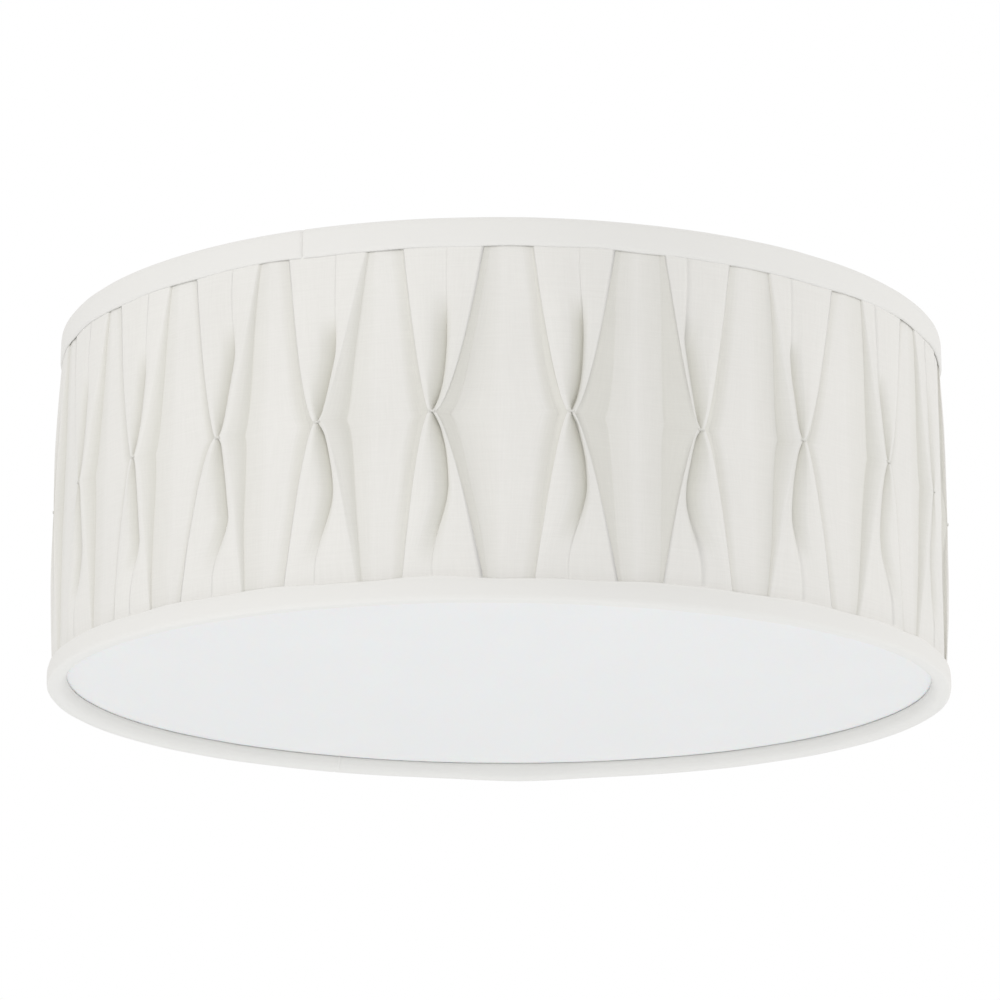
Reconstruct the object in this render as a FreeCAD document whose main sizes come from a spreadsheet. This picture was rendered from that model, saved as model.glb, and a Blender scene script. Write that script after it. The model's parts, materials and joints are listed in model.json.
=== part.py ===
import FreeCAD, Part
import math
import os
import re
import Sketcher
from FreeCAD import Placement, Rotation, Vector

# A flush mount ceiling light with a pinch-pleated drum shade.
# Millimetres. The ceiling is the plane z = 0, +Z points up into it, and the
# light hangs below: the origin is the centre of the outlet box pattern.

SIZES = {
    # drum shade
    "shade_height": 162.0,
    "ceiling_gap": 4.0,          # shade's top edge below the ceiling
    "cloth_radius": 200.0,       # face of the cloth between two pleats
    "cloth_back": 1.2,
    "liner_sheet": 0.7,
    "layer_gap": 0.1,
    "ring_wire": 2.6,
    "tape": 0.9,
    "tape_edge": 0.5,
    "top_band": 12.5,
    "bottom_band": 10.0,
    "top_trim_bulge": 1.0,       # tape's fullest line outside the cloth
    "bottom_trim_bulge": 2.0,
    "trim_leg": 10.0,            # tape turned down inside the top ring
    "trim_corner": 1.3,          # small bevel of a folded edge
    "trim_roll": 2.4,            # rounder lower edge of the bottom tape
    # box pleats, pinched and tacked at half height
    "pleat_count": 24,
    "panel_width": 33.0,
    "pinch_width": 3.2,
    "return_width": 10.0,        # side band that shows beside the pinch
    "seam_lift": 0.9,            # folded panel over the recess at a seam
    "fold_lift": 2.3,
    "pinch_lift": 2.9,
    "hollow_depth": 2.3,
    "recess_crown": 0.4,
    "tack_length": 4.6,
    "tack_thread": 0.9,
    # diffuser disc, lying on the wrapped bottom ring
    "diffuser_seat": 7.0,
    "diffuser_sheet": 2.5,
    "diffuser_gap": 0.8,
    "edge_bevel": 0.6,
    "rest_gap": 0.1,
    # shade arms and their thumb screws
    "arm_width": 16.0,
    "arm_sheet": 1.6,
    "arm_tab": 20.0,             # level stretch beside the ring
    "arm_drop_run": 16.0,        # sloping stretch
    "arm_pad": 10.0,             # pad past the screw
    "slit_gap": 0.4,
    "screw_circle_radius": 124.0,
    "thumb_head_radius": 8.0,
    "thumb_head_height": 8.5,
    "thumb_collar": 5.0,
    "thumb_shoulder": 2.2,
    "thumb_shank_radius": 2.0,
    "thumb_shank_length": 13.0,
    "screw_clearance": 0.1,
    "hole_clearance": 0.05,
    "boss_radius": 5.0,
    "boss_height": 8.0,
    # spun ceiling pan
    "pan_radius": 150.0,
    "pan_floor_radius": 136.0,
    "pan_depth": 25.0,
    "pan_sheet": 1.0,
    "pan_bend": 8.0,
    "rim_width": 5.0,
    # mounting strap on the outlet box
    "strap_width": 22.0,
    "strap_sheet": 2.0,
    "strap_middle": 54.0,
    "strap_joggle": 5.0,
    "strap_end": 9.0,
    "box_screw_spacing": 88.9,
    "slot_width": 4.8,
    "slot_length": 14.0,
    "pan_screw_offset": 66.0,
    "pan_screw_radius": 2.1,
    "pan_screw_head": 4.0,
    "pan_screw_head_height": 2.4,
    "pan_screw_end": 6.0,        # thread below the pan
    "cap_nut_radius": 5.5,
    "cap_nut_height": 10.0,
    "cap_nut_crown": 2.4,
    "ground_offset": 24.0,
    "ground_radius": 1.9,
    "ground_head": 4.2,
    "ground_head_height": 2.2,
    # heat pad and wire bushings in the pan
    "pad_inner": 54.0,
    "pad_outer": 112.0,
    "pad_sheet": 5.0,
    "pad_hole": 6.0,
    "bushing_offset": 45.0,
    "bushing_bore": 3.5,
    "bushing_wall": 1.3,
    "bushing_flange": 7.0,
    "bushing_sheet": 1.5,
    # lamp holders, lying flat and pointing outwards
    "lamp_count": 3,
    "lamp_level": 60.0,          # lamp axis below the ceiling
    "bracket_offset": 22.0,
    "bracket_sheet": 1.5,
    "bracket_width": 20.0,
    "bracket_foot": 20.0,
    "bracket_end": 12.0,         # leg past the lamp axis
    "rivet_offset": 34.0,
    "rivet_radius": 1.8,
    "rivet_head": 3.4,
    "rivet_head_height": 1.1,
    "holder_radius": 19.0,
    "holder_base_radius": 15.0,
    "holder_length": 36.0,
    "holder_floor": 10.0,
    "holder_step": 8.0,
    "shell_length": 23.0,
    "shell_sheet": 0.5,
    "cap_radius": 13.1,
    "cap_clearance": 0.1,
    "contact_radius": 4.0,
    "contact_height": 1.6,
    "holder_screw_radius": 1.7,
    "holder_screw_head": 3.4,
    "holder_screw_head_height": 2.0,
    "holder_screw_length": 7.0,
    # bulbs
    "cap_length": 25.0,
    "cap_base_length": 4.0,
    "bulb_radius": 30.0,
    "bulb_length": 84.0,         # glass beyond the cap
    "bulb_neck_radius": 13.6,
    "bulb_neck_length": 8.0,
    "bulb_glass": 1.0,
}

doc = FreeCAD.newDocument("ceiling_light")
dim = doc.addObject("Spreadsheet::Sheet", "dim")
for row, (name, number) in enumerate(SIZES.items(), start=1):
    dim.set(f"A{row}", name)
    dim.set(f"B{row}", str(number))
    dim.setAlias(f"B{row}", name)
doc.recompute()

# Levels and radii that several pieces share, written as formulas of the sizes.
TOP = "(-ceiling_gap)"
BOTTOM = "(-ceiling_gap - shade_height)"
TOP_SEAM = f"({TOP} - top_band)"
BOTTOM_SEAM = f"({BOTTOM} + bottom_band)"
INSIDE_TOP = f"({TOP} - tape - layer_gap)"
INSIDE_BOTTOM = f"({BOTTOM} + tape + layer_gap)"
COVER_INNER = "(cloth_radius - cloth_back)"
LINER_OUTER = f"({COVER_INNER} - layer_gap)"
LINER_INNER = f"({LINER_OUTER} - liner_sheet)"
RING_RADIUS = f"({LINER_INNER} - layer_gap - ring_wire / 2)"
TRIM_CAVITY = f"({RING_RADIUS} - ring_wire / 2 - layer_gap)"
TRIM_INNER = f"({TRIM_CAVITY} - tape)"
TRIM_WALL = "(cloth_radius + seam_lift + layer_gap)"
TOP_TRIM_RADIUS = f"({TRIM_WALL} + top_trim_bulge)"
BOTTOM_TRIM_RADIUS = f"({TRIM_WALL} + bottom_trim_bulge)"
SEAT = f"({BOTTOM} + diffuser_seat)"
TOP_RING_LEVEL = f"({INSIDE_TOP} - ring_wire / 2)"
BOTTOM_RING_LEVEL = f"({SEAT} - tape - layer_gap - ring_wire / 2)"
PAN_UNDER = "(-pan_depth)"
PAN_FLOOR = "(-pan_depth + pan_sheet)"
ARM_TOP = f"({PAN_UNDER} - rest_gap)"
ARM_UNDER = f"({ARM_TOP} - arm_sheet)"
STRAP_END_TOP = "(-strap_joggle)"
STRAP_END_UNDER = "(-strap_joggle - strap_sheet)"
STRAP_REACH = "(pan_screw_offset + strap_end)"
HOLDER_START = "(bracket_offset + bracket_sheet)"
HOLDER_END = f"({HOLDER_START} + holder_length)"
HOLDER_MOUTH_FLOOR = f"({HOLDER_START} + holder_floor)"
SHELL_INNER = "(cap_radius + cap_clearance)"
SHELL_OUTER = f"({SHELL_INNER} + shell_sheet)"
CONTACT_TOP = f"({HOLDER_MOUTH_FLOOR} + contact_height)"
CAP_START = f"({CONTACT_TOP} + cap_clearance)"
CAP_END = f"({CAP_START} + cap_length)"

LAMP_ANGLES = [90 + turn * 360 / SIZES["lamp_count"] for turn in range(SIZES["lamp_count"])]
ARM_ANGLES = [angle + 180 / SIZES["lamp_count"] for angle in LAMP_ANGLES]
NODES = []


def bound(formula):
    """The formula with each size's name pointing at its cell in the sheet."""
    return re.sub(r"[a-z_]+", lambda word: f"dim.{word[0]}" if word[0] in SIZES else word[0], formula)


def size(formula):
    return float(dim.evalExpression(bound(formula)))


def polar(radius, angle):
    return (f"{radius} * cos({angle} deg)", f"{radius} * sin({angle} deg)")


def keep(piece):
    NODES.append(piece)
    return piece


def new_body(label, place=("0", "0", "0"), turn=None):
    body = doc.addObject("PartDesign::Body", label)
    body.Label = label
    body.Placement = Placement(Vector(*[size(formula) for formula in place]), turn or Rotation())
    for axis, formula in zip("xyz", place):
        body.setExpression(f"Placement.Base.{axis}", bound(formula))
    return body


def new_sketch(body, plane, level="0"):
    origin_plane = [part for part in body.Origin.OriginFeatures if part.Role == plane][0]
    sketch = body.newObject("Sketcher::SketchObject", "outline")
    sketch.AttachmentSupport = (origin_plane, [""])
    sketch.MapMode = "FlatFace"
    sketch.setExpression("AttachmentOffset.Base.z", bound(level))
    return sketch


def fix_point(sketch, part, end, corner):
    for kind, formula in zip(("DistanceX", "DistanceY"), corner):
        rule = sketch.addConstraint(Sketcher.Constraint(kind, -1, 1, part, end, size(formula)))
        sketch.setExpression(f"Constraints[{rule}]", bound(formula))


def draw_outline(sketch, corners):
    """Closed outline of straight sides through corners given as formulas."""
    points = [Vector(size(x), size(y), 0) for x, y in corners]
    for side, start in enumerate(points):
        sketch.addGeometry(Part.LineSegment(start, points[(side + 1) % len(points)]))
    for side, corner in enumerate(corners):
        following = (side + 1) % len(points)
        sketch.addConstraint(Sketcher.Constraint("Coincident", side, 2, following, 1))
        fix_point(sketch, side, 1, corner)


def bend(centre, radius, angles):
    """Corners on an arc, one for each angle in degrees."""
    return [(f"{centre[0]} + ({radius}) * cos({angle} deg)",
             f"{centre[1]} + ({radius}) * sin({angle} deg)") for angle in angles]


def draw_circle(sketch, centre, radius):
    middle = Vector(size(centre[0]), size(centre[1]), 0)
    circle = sketch.addGeometry(Part.Circle(middle, Vector(0, 0, 1), size(radius)))
    fix_point(sketch, circle, 3, centre)
    rule = sketch.addConstraint(Sketcher.Constraint("Radius", circle, size(radius)))
    sketch.setExpression(f"Constraints[{rule}]", bound(radius))


def revolve(body, sketch):
    turned = body.newObject("PartDesign::Revolution", "turned")
    turned.Profile = sketch
    turned.ReferenceAxis = (sketch, ["V_Axis"])
    turned.Angle = 360
    return turned


def turned_piece(label, outline, place=("0", "0", "0"), turn=None):
    """A piece turned about its own Z axis from an outline of (radius, height)."""
    body = new_body(label, place, turn)
    sketch = new_sketch(body, "XZ_Plane")
    draw_outline(sketch, outline)
    revolve(body, sketch)
    return body


def pad(body, sketch, length, both_ways=False):
    solid = body.newObject("PartDesign::Pad", "padded")
    solid.Profile = sketch
    solid.setExpression("Length", bound(length))
    solid.SideType = "Symmetric" if both_ways else "One side"
    return solid


def drill(body, circles):
    """Round holes through the whole piece along Z, as (x, y, radius)."""
    doc.recompute()
    before = body.Shape.Volume
    sketch = new_sketch(body, "XY_Plane")
    for x, y, radius in circles:
        draw_circle(sketch, (x, y), radius)
    return cut_through(body, sketch, before)


def cut_through(body, sketch, before):
    pocket = body.newObject("PartDesign::Pocket", "opening")
    pocket.Profile = sketch
    pocket.Type = "ThroughAll"
    pocket.SideType = "Symmetric"
    doc.recompute()
    if not body.Shape.Volume < before - 1e-6:
        raise ValueError(f"nothing was cut from {body.Label}")
    return pocket


def dress_edges(body, kind, amount, wanted):
    """A fillet or a chamfer along the edges that are wanted."""
    doc.recompute()
    last = body.Tip
    edges = [f"Edge{number}" for number, edge in enumerate(last.Shape.Edges, 1) if wanted(edge)]
    dressed = body.newObject(f"PartDesign::{kind}", "dressed")
    dressed.Base = (last, edges)
    dressed.setExpression("Radius" if kind == "Fillet" else "Size", bound(amount))
    doc.recompute()
    return dressed


def group(label, pieces):
    together = doc.addObject("Part::Compound", label)
    together.Label = label
    together.Links = pieces
    together.Placement = Placement()
    return together


# ---------------------------------------------------------------- ceiling pan
def make_ceiling_pan():
    knee = ("pan_floor_radius", "(-pan_depth + pan_bend)")
    body = turned_piece("ceiling_pan", [
        ("0", PAN_UNDER),
        *bend(knee, "pan_bend", (-90, -45, 0)),
        ("pan_radius - rim_width + pan_sheet", "-pan_sheet"),
        ("pan_radius", "-pan_sheet"),
        ("pan_radius", "0"),
        ("pan_radius - rim_width", "0"),
        *bend(knee, "pan_bend - pan_sheet", (0, -45, -90)),
        ("0", PAN_FLOOR),
    ])
    holes = [(*polar("screw_circle_radius", angle), "thumb_shank_radius + 4 * screw_clearance")
             for angle in ARM_ANGLES]
    holes += [(*polar("bushing_offset", angle), "bushing_bore + bushing_wall") for angle in ARM_ANGLES]
    holes += [(*polar("rivet_offset", angle), "rivet_radius + hole_clearance") for angle in LAMP_ANGLES]
    holes += [(f"{side} * pan_screw_offset", "0", "pan_screw_radius + screw_clearance")
              for side in (-1, 1)]
    drill(body, holes)
    return body


def make_mounting_strap():
    body = new_body("mounting_strap")
    sketch = new_sketch(body, "XZ_Plane")
    knee = "strap_middle + strap_joggle"
    upper = [(STRAP_REACH, STRAP_END_TOP), (knee, STRAP_END_TOP), ("strap_middle", "0")]
    lower = [("strap_middle - strap_sheet / 2", "-strap_sheet"),
             (f"{knee} - strap_sheet / 2", STRAP_END_UNDER), (STRAP_REACH, STRAP_END_UNDER)]
    upper += [(f"-({x})", z) for x, z in reversed(upper)]
    lower = [(f"-({x})", z) for x, z in reversed(lower)] + lower
    draw_outline(sketch, upper + lower)
    pad(body, sketch, "strap_width", both_ways=True)
    drill(body, [(f"{side} * pan_screw_offset", "0", "pan_screw_radius + screw_clearance")
                 for side in (-1, 1)] + [("ground_offset", "0", "ground_radius + screw_clearance")])
    before = body.Shape.Volume
    slots = new_sketch(body, "XY_Plane")
    half = "(slot_length / 2 - slot_width / 2)"
    for number, side in enumerate((-1, 1)):
        left = f"{side} * box_screw_spacing / 2 - {half}"
        right = f"{side} * box_screw_spacing / 2 + {half}"
        draw_slot(slots, left, right, "slot_width / 2", first=4 * number)
    cut_through(body, slots, before)
    return body


def draw_slot(sketch, left, right, radius, first):
    """A slot along X with round ends; first is the number of its first side."""
    x0, x1, r = size(left), size(right), size(radius)
    z = Vector(0, 0, 1)
    quarter = math.pi / 2
    sketch.addGeometry(Part.LineSegment(Vector(x0, -r, 0), Vector(x1, -r, 0)))
    sketch.addGeometry(Part.ArcOfCircle(Part.Circle(Vector(x1, 0, 0), z, r), -quarter, quarter))
    sketch.addGeometry(Part.LineSegment(Vector(x1, r, 0), Vector(x0, r, 0)))
    sketch.addGeometry(Part.ArcOfCircle(Part.Circle(Vector(x0, 0, 0), z, r), quarter, 3 * quarter))
    for step in (0, 2):
        side, cap, following = first + step, first + step + 1, first + (step + 2) % 4
        sketch.addConstraint(Sketcher.Constraint("Tangent", side, 2, cap, 1))
        sketch.addConstraint(Sketcher.Constraint("Coincident", cap, 2, following, 1))
    fix_point(sketch, first, 1, (left, f"-({radius})"))
    fix_point(sketch, first, 2, (right, f"-({radius})"))
    fix_point(sketch, first + 2, 1, (right, radius))
    fix_point(sketch, first + 2, 2, (left, radius))


def make_pan_screw(number, side):
    end = f"{PAN_UNDER} - pan_screw_end"
    head = f"{STRAP_END_TOP} + pan_screw_head_height"
    return turned_piece(f"pan_screw_{number}", [
        ("0", end), ("pan_screw_radius", end), ("pan_screw_radius", STRAP_END_TOP),
        ("pan_screw_head", STRAP_END_TOP), ("pan_screw_head * 0.8", head), ("0", head),
    ], place=(f"{side} * pan_screw_offset", "0", "0"))


def make_cap_nut(number, side):
    """Hexagonal cap nut, domed by two tapers and bored for the screw's end."""
    nut = new_body(f"cap_nut_{number}", (f"{side} * pan_screw_offset", "0", "0"))
    sketch = new_sketch(nut, "XY_Plane", f"{PAN_UNDER} - cap_nut_height")
    draw_outline(sketch, bend(("0", "0"), "cap_nut_radius", range(0, 360, 60)))
    pad(nut, sketch, "cap_nut_height")
    under = size(f"{PAN_UNDER} - cap_nut_height")
    dress_edges(nut, "Chamfer", "cap_nut_crown", lambda edge: abs(edge.BoundBox.ZMax - under) < 0.01)
    before = nut.Shape.Volume
    bore = new_sketch(nut, "XY_Plane", PAN_UNDER)
    draw_circle(bore, ("0", "0"), "pan_screw_radius + screw_clearance")
    pocket = nut.newObject("PartDesign::Pocket", "bore")
    pocket.Profile = bore
    pocket.setExpression("Length", bound("pan_screw_end + screw_clearance"))
    doc.recompute()
    if not nut.Shape.Volume < before - 1e-6:
        raise ValueError("the cap nut has no bore")
    return nut


def make_ground_screw():
    under = "-strap_sheet - ground_head_height"
    return turned_piece("ground_screw", [
        ("0", under), ("ground_head", under), ("ground_head", "-strap_sheet"),
        ("ground_radius", "-strap_sheet"), ("ground_radius", "0"), ("0", "0"),
    ], place=("ground_offset", "0", "0"))


def make_heat_pad():
    top = f"{PAN_FLOOR} + pad_sheet"
    body = turned_piece("heat_pad", [
        ("pad_inner", PAN_FLOOR), ("pad_outer", PAN_FLOOR), ("pad_outer", top), ("pad_inner", top)])
    drill(body, [(f"{side} * pan_screw_offset", "0", "pad_hole") for side in (-1, 1)])
    return body


def make_bushing(number, angle):
    """Snap bushing that guards a lamp's leads where they pass the pan."""
    outer = "bushing_bore + bushing_wall"
    lip = f"{PAN_UNDER} - bushing_sheet"
    top = f"{PAN_FLOOR} + bushing_sheet"
    return turned_piece(f"bushing_{number}", [
        ("bushing_bore", lip), ("bushing_flange", lip), ("bushing_flange", PAN_UNDER),
        (outer, PAN_UNDER), (outer, top), ("bushing_bore", top),
    ], place=(*polar("bushing_offset", angle), "0"))


def make_boss(number, angle):
    """Threaded boss on the pan's floor that takes one thumb screw."""
    bore = "thumb_shank_radius + screw_clearance"
    top = f"{PAN_FLOOR} + boss_height"
    return turned_piece(f"boss_{number}", [
        (bore, PAN_FLOOR), ("boss_radius", PAN_FLOOR), ("boss_radius", top), (bore, top),
    ], place=(*polar("screw_circle_radius", angle), "0"))


# --------------------------------------------------------------- lamp holders
def lamp_turn(angle):
    """Turns a piece's Z axis to point outwards from the light's centre."""
    return Rotation(Vector(0, 0, 1), angle) * Rotation(Vector(0, 1, 0), 90)


def lamp_piece(label, angle, outline):
    return turned_piece(label, outline, ("0", "0", "-lamp_level"), lamp_turn(angle))


def make_bracket(number, angle):
    body = new_body(f"socket_bracket_{number}", turn=Rotation(Vector(0, 0, 1), angle))
    sketch = new_sketch(body, "XZ_Plane")
    leg_end = "-lamp_level - bracket_end"
    foot_end = "bracket_offset + bracket_foot"
    foot_under = f"{PAN_UNDER} - bracket_sheet"
    draw_outline(sketch, [
        ("bracket_offset", leg_end), (HOLDER_START, leg_end), (HOLDER_START, foot_under),
        (foot_end, foot_under), (foot_end, PAN_UNDER), ("bracket_offset", PAN_UNDER)])
    pad(body, sketch, "bracket_width", both_ways=True)
    doc.recompute()
    leg_side = size("bracket_width") / 2
    dress_edges(body, "Fillet", "bracket_width / 4", lambda edge: is_leg_corner(edge, leg_side))
    drill(body, [("rivet_offset", "0", "rivet_radius + hole_clearance")])
    drill_leg(body)
    return body


def is_leg_corner(edge, side):
    box = edge.BoundBox
    level = size("-lamp_level - bracket_end")
    short = abs(box.XLength - size("bracket_sheet")) < 0.01
    return short and abs(box.ZMax - level) < 0.01 and abs(abs(box.YMin) - side) < 0.01


def drill_leg(body):
    before = body.Shape.Volume
    sketch = new_sketch(body, "YZ_Plane")
    draw_circle(sketch, ("0", "-lamp_level"), "holder_screw_radius + hole_clearance")
    cut_through(body, sketch, before)


def make_rivet(number, angle):
    """Tubular rivet that clamps a bracket's foot under the pan."""
    foot = f"{PAN_UNDER} - bracket_sheet"
    under = f"{foot} - rivet_head_height"
    top = f"{PAN_FLOOR} + rivet_head_height"
    return turned_piece(f"rivet_{number}", [
        ("0", under), ("rivet_head", under), ("rivet_head", foot), ("rivet_radius", foot),
        ("rivet_radius", PAN_FLOOR), ("rivet_head", PAN_FLOOR), ("rivet_head", top), ("0", top),
    ], place=(*polar("rivet_offset", angle), "0"))


def make_holder(number, angle):
    neck = f"{HOLDER_START} + holder_step"
    tapped = "holder_screw_radius + hole_clearance"
    tapped_end = f"{HOLDER_START} + holder_screw_length"
    return lamp_piece(f"lampholder_{number}", angle, [
        (tapped, HOLDER_START), ("holder_base_radius", HOLDER_START), ("holder_base_radius", neck),
        ("holder_radius", f"{neck} + holder_radius - holder_base_radius"),
        ("holder_radius", HOLDER_END), (SHELL_OUTER, HOLDER_END), (SHELL_OUTER, HOLDER_MOUTH_FLOOR),
        ("0", HOLDER_MOUTH_FLOOR), ("0", tapped_end), (tapped, tapped_end)])


def make_screw_shell(number, angle):
    start = f"{HOLDER_END} - shell_length - shell_sheet"
    end = f"{HOLDER_END} - shell_sheet"
    return lamp_piece(f"screw_shell_{number}", angle, [
        (SHELL_INNER, start), (SHELL_OUTER, start), (SHELL_OUTER, end), (SHELL_INNER, end)])


def make_contact(number, angle):
    return lamp_piece(f"centre_contact_{number}", angle, [
        ("0", HOLDER_MOUTH_FLOOR), ("contact_radius", HOLDER_MOUTH_FLOOR),
        ("contact_radius * 0.7", CONTACT_TOP), ("0", CONTACT_TOP)])


def make_holder_screw(number, angle):
    head = "bracket_offset - holder_screw_head_height"
    end = f"{HOLDER_START} + holder_screw_length"
    return lamp_piece(f"holder_screw_{number}", angle, [
        ("0", head), ("holder_screw_head * 0.8", head), ("holder_screw_head", "bracket_offset"),
        ("holder_screw_radius", "bracket_offset"), ("holder_screw_radius", end), ("0", end)])


# ---------------------------------------------------------------------- bulbs
def make_bulb_cap(number, angle):
    return lamp_piece(f"bulb_cap_{number}", angle, [
        ("0", CAP_START), ("contact_radius", CAP_START),
        ("cap_radius", f"{CAP_START} + cap_base_length"), ("cap_radius", CAP_END), ("0", CAP_END)])


def make_bulb_glass(number, angle):
    """Hollow frosted bulb: a straight neck that swells into a round dome."""
    dome = ("0", f"({CAP_END} + bulb_length - bulb_radius)")
    neck_end = f"({CAP_END} + bulb_neck_length)"
    outer = bend(dome, "bulb_radius", (-24, 12, 44, 72))
    inner = bend(dome, "bulb_radius - bulb_glass", (72, 44, 12, -24))
    return lamp_piece(f"bulb_glass_{number}", angle, [
        ("bulb_neck_radius - bulb_glass", CAP_END), ("bulb_neck_radius", CAP_END),
        ("bulb_neck_radius", neck_end), *outer,
        ("0", f"{CAP_END} + bulb_length"), ("0", f"{CAP_END} + bulb_length - bulb_glass"), *inner,
        ("bulb_neck_radius - bulb_glass", neck_end)])


# ---------------------------------------------------------------- shade frame
def make_ring(label, level):
    """Wire ring, drawn with six flats, that the tape wraps."""
    body = new_body(label)
    sketch = new_sketch(body, "XZ_Plane")
    draw_outline(sketch, bend((RING_RADIUS, level), "ring_wire / 2", range(30, 390, 60)))
    revolve(body, sketch)
    return body


def make_arm(number, angle):
    """Bent steel strip from the top ring down to a pad under the pan."""
    body = new_body(f"shade_arm_{number}", turn=Rotation(Vector(0, 0, 1), angle))
    sketch = new_sketch(body, "XZ_Plane")
    tab_top = f"({TOP_RING_LEVEL} - ring_wire / 2)"
    outer = f"({RING_RADIUS} + ring_wire / 3)"
    bend = f"({outer} - arm_tab)"
    foot = f"({bend} - arm_drop_run)"
    pad_end = "screw_circle_radius - arm_pad"
    draw_outline(sketch, [
        (outer, tab_top), (bend, tab_top), (foot, ARM_TOP), (pad_end, ARM_TOP),
        (pad_end, ARM_UNDER), (f"{foot} + arm_sheet / 2", ARM_UNDER),
        (f"{bend} + arm_sheet / 2", f"{tab_top} - arm_sheet"), (outer, f"{tab_top} - arm_sheet")])
    pad(body, sketch, "arm_width", both_ways=True)
    end = size(pad_end)
    dress_edges(body, "Fillet", "arm_width / 2 * 0.98", lambda edge: is_pad_corner(edge, end))
    drill(body, [("screw_circle_radius", "0", "thumb_shank_radius + screw_clearance")])
    return body


def is_pad_corner(edge, end):
    box = edge.BoundBox
    upright = abs(box.ZLength - size("arm_sheet")) < 0.01
    return upright and abs(box.XMax - end) < 0.01 and box.YLength < 0.01


def make_thumb_screw(number, angle):
    head_top = f"({ARM_UNDER} - rest_gap)"
    skirt = f"({head_top} - thumb_shoulder)"
    under = f"({head_top} - thumb_head_height)"
    tip = f"({ARM_UNDER} + thumb_shank_length)"
    return turned_piece(f"thumb_screw_{number}", [
        ("0", under), ("thumb_head_radius", under), ("thumb_head_radius", skirt),
        ("thumb_collar", head_top), ("thumb_shank_radius", head_top),
        ("thumb_shank_radius", tip), ("0", tip),
    ], place=(*polar("screw_circle_radius", angle), "0"))


# ------------------------------------------------------------ cloth and liner
def make_liner():
    return turned_piece("shade_liner", [
        (LINER_INNER, INSIDE_BOTTOM), (LINER_OUTER, INSIDE_BOTTOM),
        (LINER_OUTER, INSIDE_TOP), (LINER_INNER, INSIDE_TOP)])


def blend_between(start, end, share):
    return start + (end - start) * share


def pleat_outline(openness):
    """Half of one pleat at a level, as (distance along the cloth, lift) pairs.

    openness is 1 at a seam, where the box panel lies flat and wide, and 0 at
    the pinch, where its two folds are drawn together and tacked."""
    half_panel = blend_between(size("pinch_width / 2"), size("panel_width / 2"), openness ** 0.9)
    foot = blend_between(size("pinch_width / 2 + return_width"),
                         size("panel_width / 2 + layer_gap"), openness)
    bow = 4 * openness * (1 - openness)
    fold = blend_between(size("pinch_lift"), size("seam_lift"), openness)
    fold += bow * (size("fold_lift") - size("pinch_lift + seam_lift") / 2)
    near_pinch = math.exp(-((openness - 0.22) / 0.24) ** 2) * min(1.0, openness / 0.12)
    hollow = fold - size("hollow_depth") * near_pinch
    crown = size("recess_crown") * (1 - openness)
    half_pitch = math.pi * size("cloth_radius / pleat_count")
    return [(0.0, hollow), (half_panel * 0.6, blend_between(hollow, fold, 0.45)),
            (half_panel, fold), (foot, 0.0), (half_pitch, crown)]


def pleat_section(level, openness):
    """The whole cover's outline at one level: every pleat, right round."""
    half = pleat_outline(openness)
    pleat = [(-along, lift) for along, lift in reversed(half[1:-1])] + half
    radius = size("cloth_radius")
    count = int(size("pleat_count"))
    points = []
    for turn in range(count):
        for along, lift in pleat:
            angle = -math.pi / 2 + (turn + 0.5) * 2 * math.pi / count + along / radius
            reach = radius + lift
            points.append(Vector(reach * math.cos(angle), reach * math.sin(angle), level))
    return points


def make_cover():
    """The pinch-pleated cloth: level sections joined by flat facets."""
    low, high = size(BOTTOM_SEAM), size(TOP_SEAM)
    middle, reach = (low + high) / 2, (high - low) / 2
    openings = [1.0, 0.68, 0.38, 0.16, 0.0]
    levels = [(middle - reach * share, share) for share in openings]
    levels += [(middle + reach * share, share) for share in reversed(openings[:-1])]
    levels = [(size(INSIDE_BOTTOM), 1.0)] + levels + [(size(INSIDE_TOP), 1.0)]
    sections = [pleat_section(*level) for level in levels]
    facets = [Part.Face(Part.makePolygon(ring + ring[:1])) for ring in (sections[0], sections[-1])]
    for below, above in zip(sections, sections[1:]):
        facets += facet_band(below, above)
    shell = Part.makeShell(facets)
    shell.sewShape()
    solid = Part.makeSolid(Part.makeShell(shell.Faces))
    core_start = Vector(0, 0, size(BOTTOM))
    core = Part.makeCylinder(size(COVER_INNER), size("shade_height"), core_start)
    cover = doc.addObject("Part::Feature", "pleated_cover")
    cover.Label = "pleated_cover"
    cover.Shape = solid.cut(core)
    cover.Placement = Placement()
    return cover


def facet_band(below, above):
    """Two flat triangles for each side of the pleats between two sections."""
    facets = []
    for side in range(len(below)):
        following = (side + 1) % len(below)
        low_start, low_end = below[side], below[following]
        high_start, high_end = above[side], above[following]
        facets.append(Part.Face(Part.makePolygon([low_start, low_end, high_end, low_start])))
        facets.append(Part.Face(Part.makePolygon([low_start, high_end, high_start, low_start])))
    return facets


def make_tacks():
    """A short thread bar across each pinch."""
    reach = size("cloth_radius + pinch_lift + layer_gap + tack_thread / 2")
    level = (size(BOTTOM_SEAM) + size(TOP_SEAM)) / 2
    length, thick = size("tack_length"), size("tack_thread / 2")
    count = int(size("pleat_count"))
    bars = []
    for turn in range(count):
        corners = [Vector(thick * math.cos(step * math.pi / 3), 0, thick * math.sin(step * math.pi / 3))
                   for step in range(7)]
        bar = Part.Face(Part.makePolygon(corners)).extrude(Vector(0, length, 0))
        bar.translate(Vector(reach, -length / 2, level))
        bar.rotate(Vector(), Vector(0, 0, 1), -90 + (turn + 0.5) * 360 / count)
        bars.append(bar)
    tacks = doc.addObject("Part::Feature", "pleat_tacks")
    tacks.Label = "pleat_tacks"
    tacks.Shape = Part.makeCompound(bars)
    tacks.Placement = Placement()
    return tacks


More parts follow.
